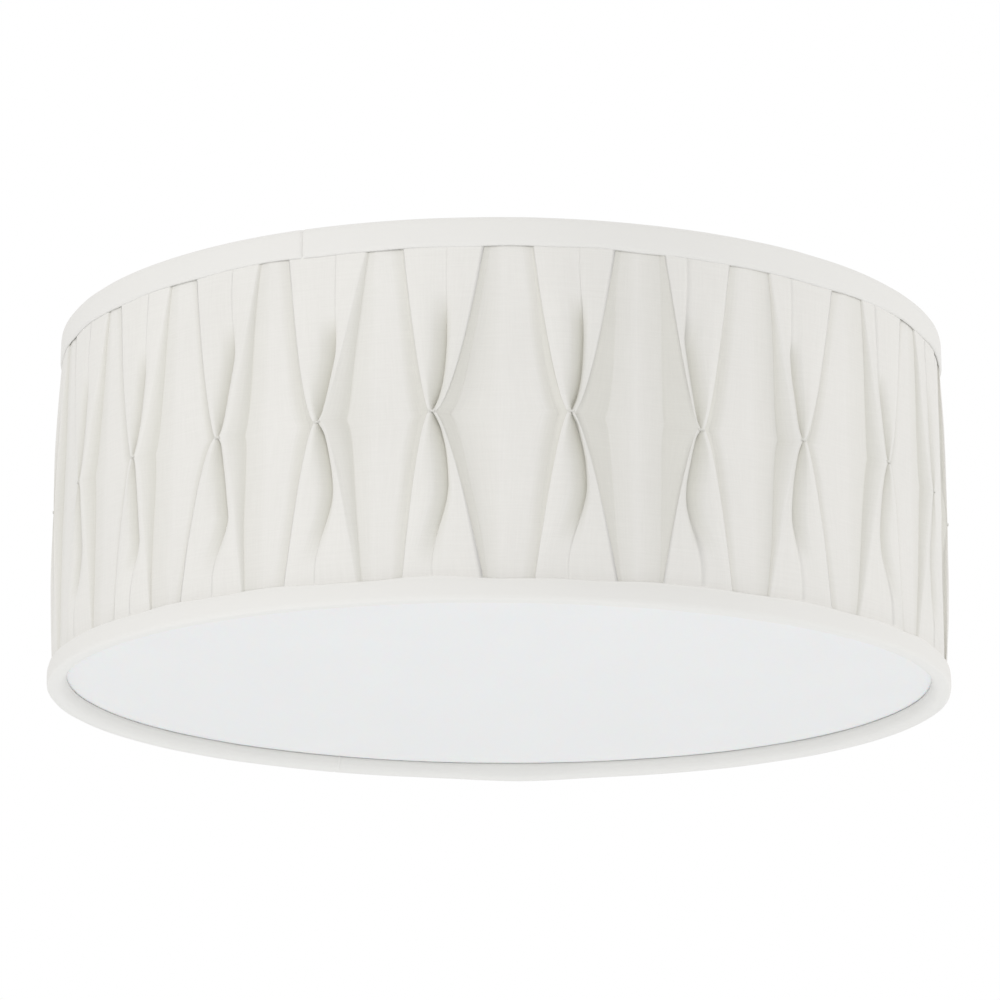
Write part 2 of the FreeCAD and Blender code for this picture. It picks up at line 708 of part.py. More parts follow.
def make_top_trim():
    """Bias tape folded over the top ring, slit where the arms leave it."""
    leg_end = f"({TOP} - trim_leg)"
    body = turned_piece("top_trim", [
        (TRIM_WALL, TOP_SEAM), (f"{TRIM_WALL} + tape_edge", TOP_SEAM),
        (TOP_TRIM_RADIUS, f"{TOP} - top_band / 2"),
        (f"{TOP_TRIM_RADIUS} - tape_edge / 2", f"{TOP} - trim_corner"),
        (f"{TOP_TRIM_RADIUS} - trim_corner", TOP), (f"{TRIM_INNER} + tape", TOP),
        (TRIM_INNER, f"{TOP} - tape"), (TRIM_INNER, leg_end), (TRIM_CAVITY, leg_end),
        (TRIM_CAVITY, f"{TOP} - tape"), (TRIM_WALL, f"{TOP} - tape")])
    doc.recompute()
    before = body.Shape.Volume
    slits = new_sketch(body, "XY_Plane")
    for number, angle in enumerate(ARM_ANGLES):
        draw_slit(slits, angle, 4 * number)
    pocket = body.newObject("PartDesign::Pocket", "slits")
    pocket.Profile = slits
    pocket.Type = "Length"
    slits.setExpression("AttachmentOffset.Base.z", bound(f"{TOP_RING_LEVEL} - ring_wire / 2 + slit_gap"))
    pocket.setExpression("Length", bound("trim_leg"))
    doc.recompute()
    if not body.Shape.Volume < before - 1e-6:
        raise ValueError("the trim has no slits")
    return body


def draw_slit(sketch, angle, first):
    half = "(arm_width / 2 + slit_gap)"
    near, far = f"({TRIM_INNER} - tape * 2)", f"({TRIM_CAVITY} + layer_gap)"
    corners = [(near, f"-{half}"), (far, f"-{half}"), (far, half), (near, half)]
    turned = [(f"{x} * cos({angle} deg) - ({y}) * sin({angle} deg)",
               f"{x} * sin({angle} deg) + ({y}) * cos({angle} deg)") for x, y in corners]
    points = [Vector(size(x), size(y), 0) for x, y in turned]
    for side in range(4):
        sketch.addGeometry(Part.LineSegment(points[side], points[(side + 1) % 4]))
    for side in range(4):
        sketch.addConstraint(Sketcher.Constraint(
            "Coincident", first + side, 2, first + (side + 1) % 4, 1))
        fix_point(sketch, first + side, 1, turned[side])


def make_bottom_trim():
    """Bias tape wrapped round the bottom ring; its top carries the diffuser."""
    lip_end = f"({LINER_INNER} - layer_gap)"
    return turned_piece("bottom_trim", [
        (TRIM_WALL, BOTTOM_SEAM), (TRIM_WALL, f"{BOTTOM} + tape"),
        (TRIM_CAVITY, f"{BOTTOM} + tape"), (TRIM_CAVITY, f"{SEAT} - tape"),
        (lip_end, f"{SEAT} - tape"), (lip_end, SEAT), (TRIM_INNER, SEAT),
        (TRIM_INNER, f"{BOTTOM} + tape"), (f"{TRIM_INNER} + tape", BOTTOM),
        (f"{BOTTOM_TRIM_RADIUS} - trim_roll", BOTTOM),
        (f"{BOTTOM_TRIM_RADIUS} - tape_edge", f"{BOTTOM} + trim_roll * 0.75"),
        (BOTTOM_TRIM_RADIUS, f"{BOTTOM} + bottom_band / 2"),
        (f"{TRIM_WALL} + tape_edge", BOTTOM_SEAM)])


def make_diffuser():
    under, top = f"({SEAT} + rest_gap)", f"({SEAT} + rest_gap + diffuser_sheet)"
    edge = f"({LINER_INNER} - diffuser_gap)"
    inner = f"({edge} - edge_bevel)"
    return turned_piece("diffuser", [
        ("0", under), (inner, under), (edge, f"{under} + edge_bevel"),
        (edge, f"{top} - edge_bevel"), (inner, top), ("0", top)])


keep(make_ceiling_pan())
keep(make_mounting_strap())
keep(group("pan_screws", [make_pan_screw(n, side) for n, side in ((1, -1), (2, 1))]))
keep(group("cap_nuts", [make_cap_nut(n, side) for n, side in ((1, -1), (2, 1))]))
keep(make_ground_screw())
keep(make_heat_pad())
keep(group("wire_bushings", [make_bushing(n, a) for n, a in enumerate(ARM_ANGLES, 1)]))
keep(group("screw_bosses", [make_boss(n, a) for n, a in enumerate(ARM_ANGLES, 1)]))
keep(group("bracket_rivets", [make_rivet(n, a) for n, a in enumerate(LAMP_ANGLES, 1)]))
keep(group("holder_screws", [make_holder_screw(n, a) for n, a in enumerate(LAMP_ANGLES, 1)]))
for lamp, lamp_angle in enumerate(LAMP_ANGLES, 1):
    keep(make_bracket(lamp, lamp_angle))
    keep(make_holder(lamp, lamp_angle))
    keep(make_screw_shell(lamp, lamp_angle))
    keep(make_contact(lamp, lamp_angle))
    keep(make_bulb_cap(lamp, lamp_angle))
    keep(make_bulb_glass(lamp, lamp_angle))
keep(make_ring("top_ring", TOP_RING_LEVEL))
keep(make_ring("bottom_ring", BOTTOM_RING_LEVEL))
for arm, arm_angle in enumerate(ARM_ANGLES, 1):
    keep(make_arm(arm, arm_angle))
    keep(make_thumb_screw(arm, arm_angle))
keep(make_liner())
keep(make_cover())
keep(make_tacks())
keep(make_top_trim())
keep(make_bottom_trim())
keep(make_diffuser())

doc.recompute()
for part in doc.Objects:
    if "Invalid" in part.State or "Error" in part.State:
        raise ValueError(f"{part.Label} did not build: {part.State}")
for node in NODES:
    if node.Shape.isNull() or not node.Shape.isValid() or not node.Shape.Solids:
        raise ValueError(f"{node.Label} has no sound shape")

os.makedirs("parts", exist_ok=True)
for node in NODES:
    node.Shape.exportStep(f"parts/{node.Label}.step")
    box = node.Shape.BoundBox
    print(f"{node.Label}: {len(node.Shape.Solids)} solid(s), {node.Shape.Volume:.0f} mm3, "
          f"z {box.ZMin:.2f} to {box.ZMax:.2f}")
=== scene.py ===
# %% [markdown]
# A flush ceiling light with a pleated linen drum shade.
#
# The rigid works of the light (pan, strap, lampholders, rings, liner) arrive as a packed
# model, in metres, with its ceiling face at height zero. This lesson keeps those solids and
# dresses them: it sews the cover, folds the tape over the rings, blows the bulbs, turns the thumb
# screws, lays the heat pad, and lights the whole as a catalogue would.

# %% Load the imported model
import json
import math

import bpy
import numpy as np
from mathutils import Matrix, Vector, noise

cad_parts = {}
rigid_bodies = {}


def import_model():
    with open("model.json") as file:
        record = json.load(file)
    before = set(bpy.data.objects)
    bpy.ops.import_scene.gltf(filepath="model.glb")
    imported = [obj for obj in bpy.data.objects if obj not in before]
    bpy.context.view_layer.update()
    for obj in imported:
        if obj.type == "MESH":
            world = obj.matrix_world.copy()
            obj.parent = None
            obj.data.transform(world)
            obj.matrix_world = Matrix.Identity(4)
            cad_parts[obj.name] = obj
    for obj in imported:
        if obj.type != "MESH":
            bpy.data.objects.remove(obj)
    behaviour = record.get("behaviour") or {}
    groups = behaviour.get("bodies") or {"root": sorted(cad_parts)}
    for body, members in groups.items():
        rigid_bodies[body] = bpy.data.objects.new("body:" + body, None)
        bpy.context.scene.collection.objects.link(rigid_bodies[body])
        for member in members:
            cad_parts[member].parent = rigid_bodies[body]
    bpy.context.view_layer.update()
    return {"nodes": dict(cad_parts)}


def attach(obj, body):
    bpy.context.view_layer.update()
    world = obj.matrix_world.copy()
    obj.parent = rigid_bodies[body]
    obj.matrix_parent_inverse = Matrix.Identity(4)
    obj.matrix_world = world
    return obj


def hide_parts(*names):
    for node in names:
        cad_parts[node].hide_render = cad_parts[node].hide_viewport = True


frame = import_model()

FULL_TURN = 2 * math.pi
nodes = frame["nodes"]
bpy.ops.object.select_all(action="DESELECT")

# %% [markdown]
# The camera stands a little under two metres off, well below the shade, and looks up at it, as a
# person does who glances at a ceiling light from across a room. A long lens keeps the drum's
# sides nearly upright. Its angles were found from the outlines of the two rims.

# %% Place the camera
CAMERA_PLACE = Vector((0.0, -1.6733, -0.5019))
CAMERA_PITCH = math.radians(14.391)
CAMERA_ROLL = math.radians(0.282)
CAMERA_YAW = math.radians(-0.003)

forward = Vector(
    (
        math.sin(CAMERA_YAW) * math.cos(CAMERA_PITCH),
        math.cos(CAMERA_YAW) * math.cos(CAMERA_PITCH),
        math.sin(CAMERA_PITCH),
    )
)
level_right = forward.cross(Vector((0, 0, 1))).normalized()
level_up = level_right.cross(forward)
right = math.cos(CAMERA_ROLL) * level_right + math.sin(CAMERA_ROLL) * level_up
up = math.cos(CAMERA_ROLL) * level_up - math.sin(CAMERA_ROLL) * level_right

camera_data = bpy.data.cameras.new("catalogue_camera")
camera_data.sensor_fit = "HORIZONTAL"
camera_data.sensor_width = 36.0
camera_data.lens = 135.93
camera = bpy.data.objects.new("catalogue_camera", camera_data)
bpy.context.scene.collection.objects.link(camera)
camera.matrix_world = Matrix.Translation(CAMERA_PLACE) @ Matrix((right, up, -forward)).transposed().to_4x4()
bpy.context.scene.camera = camera
print("camera to shade axis, m:", round(-CAMERA_PLACE.y, 3))

# %% [markdown]
# A white shade on a white ground needs even light, or its folds vanish on one side and go grey
# on the other. So the sky does most of the work, and it is plain white where the camera, a mirror
# or a clear glass sees it. Two weak lamps far out to the sides rake across the folds, one from
# the front fills the middle, and one below keeps the diffuser white. The floor lies far down, as
# under a real ceiling.

# %% Fill the sky
SKY_STRENGTH = 0.74

world = bpy.data.worlds.new("white_room")
world.use_nodes = True
bpy.context.scene.world = world
tree = world.node_tree
tree.nodes.clear()
world_out = tree.nodes.new("ShaderNodeOutputWorld")
sky = tree.nodes.new("ShaderNodeBackground")
sky.inputs["Color"].default_value = (1, 1, 1, 1)
sky.inputs["Strength"].default_value = SKY_STRENGTH
white = tree.nodes.new("ShaderNodeBackground")
white.inputs["Color"].default_value = (1, 1, 1, 1)
white.inputs["Strength"].default_value = 1.0
rays = tree.nodes.new("ShaderNodeLightPath")
glossy_or_camera = tree.nodes.new("ShaderNodeMath")
glossy_or_camera.operation = "MAXIMUM"
seen = tree.nodes.new("ShaderNodeMath")
seen.operation = "MAXIMUM"
choose = tree.nodes.new("ShaderNodeMixShader")
tree.links.new(rays.outputs["Is Camera Ray"], glossy_or_camera.inputs[0])
tree.links.new(rays.outputs["Is Glossy Ray"], glossy_or_camera.inputs[1])
tree.links.new(glossy_or_camera.outputs[0], seen.inputs[0])
tree.links.new(rays.outputs["Is Transmission Ray"], seen.inputs[1])
tree.links.new(seen.outputs[0], choose.inputs["Fac"])
tree.links.new(sky.outputs[0], choose.inputs[1])
tree.links.new(white.outputs[0], choose.inputs[2])
tree.links.new(choose.outputs[0], world_out.inputs["Surface"])

bpy.context.scene.view_settings.view_transform = "Standard"
print("sky strength:", SKY_STRENGTH)


# %% Hang the lamps
def soft_lamp(name, place, target, width, power, colour):
    """A round area lamp that points at a target and isn't seen itself."""
    data = bpy.data.lights.new(name, "AREA")
    data.shape = "DISK"
    data.size = width
    data.energy = power
    data.color = colour
    lamp = bpy.data.objects.new(name, data)
    bpy.context.scene.collection.objects.link(lamp)
    lamp.location = place
    lamp.rotation_mode = "QUATERNION"
    lamp.rotation_quaternion = (Vector(target) - Vector(place)).to_track_quat("-Z", "Y")
    lamp.visible_camera = False


SHADE_MIDDLE = (0.0, 0.0, -0.085)
WARM, SOFT_WARM, COOL = (1.0, 0.985, 0.965), (1.0, 0.99, 0.975), (0.94, 0.975, 1.0)
soft_lamp("lamp_left", (-2.5, -0.68, 0.3), SHADE_MIDDLE, 0.9, 10.0, WARM)
soft_lamp("lamp_right", (2.5, 0.67, 0.3), SHADE_MIDDLE, 0.9, 14.0, WARM)
soft_lamp("lamp_front", (0.1, -2.5, 0.95), SHADE_MIDDLE, 1.2, 12.0, SOFT_WARM)
soft_lamp("lamp_below", (0.0, -0.5, -2.4), SHADE_MIDDLE, 1.6, 15.0, COOL)
print("lamps:", [light.name for light in bpy.data.lights])

# %% Lay the floor
FLOOR_LEVEL = -2.6
FLOOR_SIDE = 80.0

bpy.ops.mesh.primitive_grid_add(
    x_subdivisions=8, y_subdivisions=8, size=FLOOR_SIDE, location=(0, 0, FLOOR_LEVEL)
)
floor = bpy.context.active_object
floor.name = "floor"
floor_paint = bpy.data.materials.new("floor_paint")
floor_paint.use_nodes = True
floor_shader = floor_paint.node_tree.nodes["Principled BSDF"]
floor_shader.inputs["Base Color"].default_value = (0.9, 0.9, 0.9, 1)
floor_shader.inputs["Roughness"].default_value = 0.9
floor.data.materials.append(floor_paint)
bpy.ops.object.select_all(action="DESELECT")
print("floor at", FLOOR_LEVEL)

# %% [markdown]
# Most finishes share a few effects: the crossing threads of a cloth, the fine grain of a moulded
# or cast skin, and the dull patches that handling leaves on metal. Each effect is a node group
# that gives only masks and heights, so a material can place it with its own values. The shaders
# stay in the materials.

# %% Helpers for node groups
def new_group(name, numbers, outputs):
    """Opens a node group that reads a vector and some numbers."""
    group = bpy.data.node_groups.new(name, "ShaderNodeTree")
    group.interface.new_socket("Vector", in_out="INPUT", socket_type="NodeSocketVector")
    for label, value in numbers.items():
        socket = group.interface.new_socket(label, in_out="INPUT", socket_type="NodeSocketFloat")
        socket.default_value = value
    for label in outputs:
        group.interface.new_socket(label, in_out="OUTPUT", socket_type="NodeSocketFloat")
    return group, group.nodes.new("NodeGroupInput"), group.nodes.new("NodeGroupOutput")


def maths(group, operation, first, second=None):
    """A Math node in a group, fed with numbers or sockets."""
    node = group.nodes.new("ShaderNodeMath")
    node.operation = operation
    for socket, value in zip(node.inputs, (first, second)):
        if isinstance(value, (int, float)):
            socket.default_value = value
        elif value is not None:
            group.links.new(value, socket)
    return node.outputs[0]


def stretched(group, vector, scale):
    """The vector with its axes scaled, to draw a pattern out into streaks."""
    node = group.nodes.new("ShaderNodeVectorMath")
    node.operation = "MULTIPLY"
    group.links.new(vector, node.inputs[0])
    node.inputs[1].default_value = scale
    return node.outputs[0]


def speckle(group, vector, scale, detail=2.0, rough=0.5):
    """Smooth noise from 0 to 1."""
    node = group.nodes.new("ShaderNodeTexNoise")
    node.inputs["Scale"].default_value = scale
    node.inputs["Detail"].default_value = detail
    node.inputs["Roughness"].default_value = rough
    group.links.new(vector, node.inputs["Vector"])
    return node.outputs["Fac"]


# %% Threads of a plain weave
def make_weave_group():
    """Crossing threads with slubs: Height for bump, Tone from 0 to 1 for colour."""
    numbers = {"Threads per metre": 1700.0, "Slubs": 1.0}
    group, given, result = new_group("plain_weave", numbers, ("Height", "Tone"))
    place = given.outputs["Vector"]
    wobble = speckle(group, place, 60.0)
    parts = group.nodes.new("ShaderNodeSeparateXYZ")
    group.links.new(place, parts.inputs[0])
    turns = maths(group, "MULTIPLY", given.outputs["Threads per metre"], FULL_TURN)
    waves = []
    for axis in ("X", "Y"):
        shifted = maths(group, "ADD", parts.outputs[axis], maths(group, "MULTIPLY", wobble, 0.0012))
        waves.append(maths(group, "SINE", maths(group, "MULTIPLY", shifted, turns)))
    crossing = maths(group, "MULTIPLY", *waves)
    weft_slubs = speckle(group, stretched(group, place, (70.0, 1500.0, 1.0)), 1.0, 3.0, 0.6)
    warp_slubs = speckle(group, stretched(group, place, (1500.0, 55.0, 1.0)), 1.0, 3.0, 0.6)
    slubs = maths(group, "MULTIPLY", maths(group, "ADD", weft_slubs, warp_slubs), 0.5)
    cloud = speckle(group, place, 14.0, 2.0)
    strong = maths(group, "MULTIPLY", maths(group, "SUBTRACT", slubs, 0.5), given.outputs["Slubs"])
    fine_height = maths(group, "MULTIPLY", crossing, 0.22)
    height = maths(group, "ADD", fine_height, maths(group, "MULTIPLY", strong, 1.6))
    tone = maths(group, "ADD", 0.5, maths(group, "MULTIPLY", strong, 1.5))
    tone = maths(group, "ADD", tone, maths(group, "MULTIPLY", maths(group, "SUBTRACT", cloud, 0.5), 0.7))
    tone = maths(group, "ADD", tone, maths(group, "MULTIPLY", crossing, 0.12))
    group.links.new(height, result.inputs["Height"])
    group.links.new(tone, result.inputs["Tone"])
    return group


weave_group = make_weave_group()
print("group:", weave_group.name)


# %% Grain of a moulded, cast or painted skin
def make_grain_group():
    """Fine grain: Height for bump, Tone for colour, Dull for roughness."""
    group, given, result = new_group("skin_grain", {"Grain": 1.0}, ("Height", "Tone", "Dull"))
    place = given.outputs["Vector"]
    fine = speckle(group, place, 2600.0, 2.0)
    middle = speckle(group, place, 240.0, 3.0)
    broad = speckle(group, place, 26.0, 3.0, 0.6)
    height = maths(group, "MULTIPLY", maths(group, "ADD", fine, middle), given.outputs["Grain"])
    group.links.new(height, result.inputs["Height"])
    clouded = maths(group, "ADD", middle, broad)
    group.links.new(maths(group, "MULTIPLY", clouded, 0.5), result.inputs["Tone"])
    group.links.new(broad, result.inputs["Dull"])
    return group


grain_group = make_grain_group()
print("group:", grain_group.name)


# %% Marks that forming and handling leave on metal
def make_metal_group():
    """Rolled or turned metal: Height of fine lines, Tone of tarnish, Dull of handling."""
    group, given, result = new_group("worked_metal", {"Lines": 1.0}, ("Height", "Tone", "Dull"))
    place = given.outputs["Vector"]
    lines = speckle(group, stretched(group, place, (60.0, 60.0, 5200.0)), 1.0, 2.0)
    tarnish = speckle(group, place, 70.0, 4.0, 0.65)
    touched = speckle(group, place, 320.0, 3.0, 0.6)
    group.links.new(maths(group, "MULTIPLY", lines, given.outputs["Lines"]), result.inputs["Height"])
    group.links.new(tarnish, result.inputs["Tone"])
    handled = maths(group, "ADD", tarnish, touched)
    group.links.new(maths(group, "MULTIPLY", handled, 0.5), result.inputs["Dull"])
    return group


metal_group = make_metal_group()
print("group:", metal_group.name)

# %% [markdown]
# A finish is built from three things: where the pattern is read, two neighbouring colours that
# the pattern mixes, and how rough and uneven the surface is. One helper wires these up for
# every material, because on this object they differ only in their values.

# %% Helper for finishes
def finish(
    name, group, dark, light, rough, relief, settings=None, uv=False, turn=0.0, constants=None, stand_off_and_painted_shade_tint=None
):
    """A Principled material: dark and light are mixed by the group's Tone, rough is a range.

    relief is the bump's strength and its depth in metres. settings go to the group and constants to
    the shader. The last argument is a colour that a cloth is darkened towards by the mesh's per-point
    fold values. This is partly the real look of thin linen standing off its backing, and partly painted
    shade in folds and creases.
    """
    material = bpy.data.materials.new(name)
    material.use_nodes = True
    tree = material.node_tree
    shader = tree.nodes["Principled BSDF"]
    place = tree.nodes.new("ShaderNodeTexCoord")
    mapping = tree.nodes.new("ShaderNodeMapping")
    mapping.inputs["Rotation"].default_value = (0, 0, turn)
    tree.links.new(place.outputs["UV" if uv else "Object"], mapping.inputs["Vector"])
    effect = tree.nodes.new("ShaderNodeGroup")
    effect.node_tree = group
    tree.links.new(mapping.outputs[0], effect.inputs["Vector"])
    for label, value in (settings or {}).items():
        effect.inputs[label].default_value = value
    mix = tree.nodes.new("ShaderNodeMix")
    mix.data_type = "RGBA"
    mix.clamp_factor = True
    mix.inputs["A"].default_value = (*dark, 1)
    mix.inputs["B"].default_value = (*light, 1)
    tree.links.new(effect.outputs["Tone"], mix.inputs["Factor"])
    colour = mix.outputs["Result"]
    # Darkens the cloth by the mesh's fold values. This is partly the real look of thin linen standing off
    # its white liner, and partly shade painted into creases, feet and hollows.
    if stand_off_and_painted_shade_tint:
        stand_off_and_painted_shade = tree.nodes.new("ShaderNodeAttribute")
        stand_off_and_painted_shade.attribute_name = "stand_off_and_painted_shade"
        deepen = tree.nodes.new("ShaderNodeMix")
        deepen.data_type = "RGBA"
        deepen.blend_type = "MULTIPLY"
        deepen.inputs["B"].default_value = (*stand_off_and_painted_shade_tint, 1)
        tree.links.new(stand_off_and_painted_shade.outputs["Fac"], deepen.inputs["Factor"])
        tree.links.new(colour, deepen.inputs["A"])
        colour = deepen.outputs["Result"]
    tree.links.new(colour, shader.inputs["Base Color"])
    spread = tree.nodes.new("ShaderNodeMapRange")
    spread.inputs["From Min"].default_value = 0.3
    spread.inputs["From Max"].default_value = 0.7
    spread.inputs["To Min"].default_value = rough[0]
    spread.inputs["To Max"].default_value = rough[1]
    source = effect.outputs["Dull"] if "Dull" in effect.outputs else effect.outputs["Tone"]
    tree.links.new(source, spread.inputs["Value"])
    tree.links.new(spread.outputs["Result"], shader.inputs["Roughness"])
    bump = tree.nodes.new("ShaderNodeBump")
    bump.inputs["Strength"].default_value = relief[0]
    bump.inputs["Distance"].default_value = relief[1]
    tree.links.new(effect.outputs["Height"], bump.inputs["Height"])
    tree.links.new(bump.outputs["Normal"], shader.inputs["Normal"])
    for label, value in (constants or {}).items():
        shader.inputs[label].default_value = value
    return material


# %% Cloth finishes
CLOTH = {"Sheen Weight": 0.12, "Sheen Roughness": 0.5, "Specular IOR Level": 0.2}
# The last colour is the painted shade tint: the linen is darkened towards it in creases, feet and hidden
# cloth, and partly where it stands off its liner.
linen = finish(
    "linen_cloth", weave_group, (0.795, 0.783, 0.752), (0.875, 0.863, 0.832), (0.86, 0.96), (0.26, 0.0002),
    uv=True, constants=CLOTH, stand_off_and_painted_shade_tint=(0.81, 0.81, 0.765),
)
bias_tape = finish(
    "bias_tape_cloth", weave_group, (0.815, 0.806, 0.781), (0.855, 0.846, 0.821), (0.85, 0.95),
    (0.18, 0.00015), settings={"Threads per metre": 2100.0, "Slubs": 0.6}, uv=True,
    turn=math.radians(45), constants=CLOTH,
)
thread = finish(
    "sewing_thread", weave_group, (0.72, 0.71, 0.67), (0.80, 0.79, 0.75), (0.7, 0.85), (0.4, 0.0001),
    settings={"Threads per metre": 3000.0}, constants={"Sheen Weight": 0.2},
)
print("cloths:", linen.name, bias_tape.name, thread.name)


# %% Plastics, glass and paint
def skin(name, dark, light, rough, relief, **more):
    """A finish with the grain of a moulded, cast or painted skin."""
    return finish(name, grain_group, dark, light, rough, relief, **more)


liner_skin = skin("liner_styrene", (0.80, 0.80, 0.79), (0.84, 0.84, 0.83), (0.35, 0.5), (0.1, 0.0001))
diffuser_skin = skin(
    "diffuser_acrylic", (0.845, 0.850, 0.85), (0.87, 0.875, 0.875), (0.5, 0.62), (0.12, 0.00008),
    settings={"Grain": 0.8}, constants={"Subsurface Weight": 0.15, "Subsurface Scale": 0.002},
)
pan_paint = skin("pan_enamel", (0.78, 0.78, 0.76), (0.84, 0.84, 0.82), (0.28, 0.42), (0.25, 0.00015))
phenolic = skin(
    "lampholder_phenolic", (0.012, 0.011, 0.010), (0.03, 0.028, 0.025), (0.3, 0.45), (0.3, 0.0001)
)
nylon = skin("bushing_nylon", (0.02, 0.02, 0.02), (0.05, 0.05, 0.05), (0.4, 0.55), (0.3, 0.0001))
ground_paint = skin("ground_green", (0.01, 0.12, 0.03), (0.02, 0.2, 0.06), (0.3, 0.45), (0.2, 0.0001))
frosted_glass = skin(
    "bulb_frosted_glass", (0.86, 0.86, 0.85), (0.9, 0.9, 0.89), (0.3, 0.42), (0.1, 0.00005),
    constants={"Transmission Weight": 0.25, "IOR": 1.5},
)
glass_wool = skin(
    "pad_glass_wool", (0.62, 0.52, 0.22), (0.80, 0.72, 0.42), (0.9, 1.0), (0.9, 0.0008),
    settings={"Grain": 2.0}, constants={"Sheen Weight": 0.3},
)
ring_steel = skin("ring_enamel", (0.74, 0.74, 0.72), (0.82, 0.82, 0.80), (0.3, 0.45), (0.2, 0.0001))
arm_steel = skin("arm_enamel", (0.76, 0.76, 0.74), (0.83, 0.83, 0.81), (0.3, 0.45), (0.25, 0.0001))
print("plastics and paints:", liner_skin.name, diffuser_skin.name, pan_paint.name)


# %% Metals
def metal(name, dark, light, rough):
    """A bare metal with fine lines of working, tarnish and handling."""
    return finish(name, metal_group, dark, light, rough, (0.25, 0.00008), constants={"Metallic": 1.0})


zinc = metal("zinc_plate", (0.50, 0.50, 0.47), (0.68, 0.68, 0.66), (0.28, 0.5))
nut_plate = metal("nut_nickel", (0.55, 0.54, 0.52), (0.72, 0.71, 0.69), (0.12, 0.28))
thumb_plate = metal("thumb_nickel", (0.55, 0.54, 0.52), (0.74, 0.73, 0.71), (0.15, 0.32))
shell_brass = metal("shell_brass", (0.55, 0.38, 0.14), (0.78, 0.60, 0.28), (0.2, 0.4))
contact_brass = metal("contact_brass", (0.58, 0.42, 0.18), (0.80, 0.64, 0.32), (0.18, 0.35))
rivet_alloy = metal("rivet_aluminium", (0.60, 0.60, 0.60), (0.78, 0.78, 0.78), (0.25, 0.42))
cap_alloy = metal("cap_aluminium", (0.58, 0.58, 0.58), (0.80, 0.80, 0.79), (0.2, 0.38))
print("metals:", zinc.name, shell_brass.name, cap_alloy.name)

# %% [markdown]
# Pressed steel, turned brass and moulded plastic have crisp plain shapes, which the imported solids
# already hold. They only need their finish. The pieces of cloth, glass and glass wool, and the
# thumb screws with their fine grip, are made anew further on, so they aren't in this list.


# %% Dress the nodes that keep their own shape
def three(name):
    """The three nodes of a piece that repeats round the light."""
    return tuple(f"{name}_{number}" for number in (1, 2, 3))


DRESSED = {
    zinc: ("mounting_strap", "pan_screws", "holder_screws", *three("socket_bracket")),
    pan_paint: ("ceiling_pan", "screw_bosses"),
    nut_plate: ("cap_nuts",),
    ground_paint: ("ground_screw",),
    nylon: ("wire_bushings",),
    rivet_alloy: ("bracket_rivets",),
    phenolic: three("lampholder"),
    shell_brass: three("screw_shell"),
    contact_brass: three("centre_contact"),
    arm_steel: three("shade_arm"),
    ring_steel: ("top_ring", "bottom_ring"),
    liner_skin: ("shade_liner",),
    diffuser_skin: ("diffuser",),
    cap_alloy: three("bulb_cap"),
}
for material, names in DRESSED.items():
    for name in names:
        skins = nodes[name].data.materials
        skins.clear()
        skins.append(material)
print("dressed nodes:", sum(len(names) for names in DRESSED.values()))

# %% [markdown]
# The cover is one long strip of linen, folded into box pleats and sewn flat under the tape at the
# top and the bottom. Half way up, a stitch draws the two edges of each pleat together. The cloth
# that lay between them has nowhere to go, so it sinks in a crease above and below the stitch,
# and the hidden cloth at the sides comes into view. No two pleats do this alike.
#
# A simulation would give soft folds but not these crisp hand-pressed ones, so the cloth is built
# row by row: each row is a line of folds, and the folds move as the row nears a stitch. Thin linen
# looks lighter where it lies on the white liner, so the mesh also carries a value for each fold that
# darkens the cloth's colour there. This is partly that real effect, and partly painted shade in the
# creases, the feet and the hidden cloth.

# %% Where the pleats sit
CLOTH_RADIUS = 0.200
PINCH_HEIGHT = -0.0875
TOP_SEAM, BOTTOM_SEAM = -0.0165, -0.156
COVER_TOP, COVER_BOTTOM = -0.0070, -0.1630
PLEAT_COUNT = 24
# Seen pleats, in degrees from the front: stitch, then panel edges (top left, top right, bottom left,
# bottom right), the stitch's drop in mm, the side on which the panel's crease lies, how many mm of
# hidden cloth show beside the stitch on that side, and whether it is pressed flat (0) or rolls (1).
SEEN_PLEATS = (
    (-64.5, -69.2, -58.2, -68.7, -60.2, 0.3, 1, 9.5, 1),
    (-50.1, -54.6, -44.6, -54.0, -46.7, 0.4, 1, 10, 1),
    (-35.3, -39.7, -30.5, -41.1, -31.9, 1.6, 1, 10, 1),
    (-21.7, -26.0, -16.2, -25.9, -16.8, 0.9, 1, 10, 0.8),
    (-7.9, -11.6, -2.0, -11.3, -1.9, -0.5, 1, 5.5, 0),
    (8.1, 3.7, 13.5, 4.0, 13.7, -0.8, 1, 13, 0),
    (23.9, 19.6, 28.2, 19.1, 28.1, 2.7, -1, 13.5, 0.2),
    (38.4, 34.3, 44.3, 33.6, 43.3, -0.5, -1, 9.5, 1),
    (54.7, 50.6, 59.8, 48.8, 58.6, -2.4, -1, 10, 1),
    (69.6, 64.8, 74.6, 63.8, 73.4, -1.6, -1, 9, 1),
)
# The pleats that are turned away stray about an even pitch, in the same units.
PANEL_HALF = 4.7
STITCH_STRAY, EDGE_STRAY, DROP_STRAY = 0.5, 0.45, 1.0
HIDDEN_SHOWN, HIDDEN_ROLL = (6, 12), (0.6, 1)

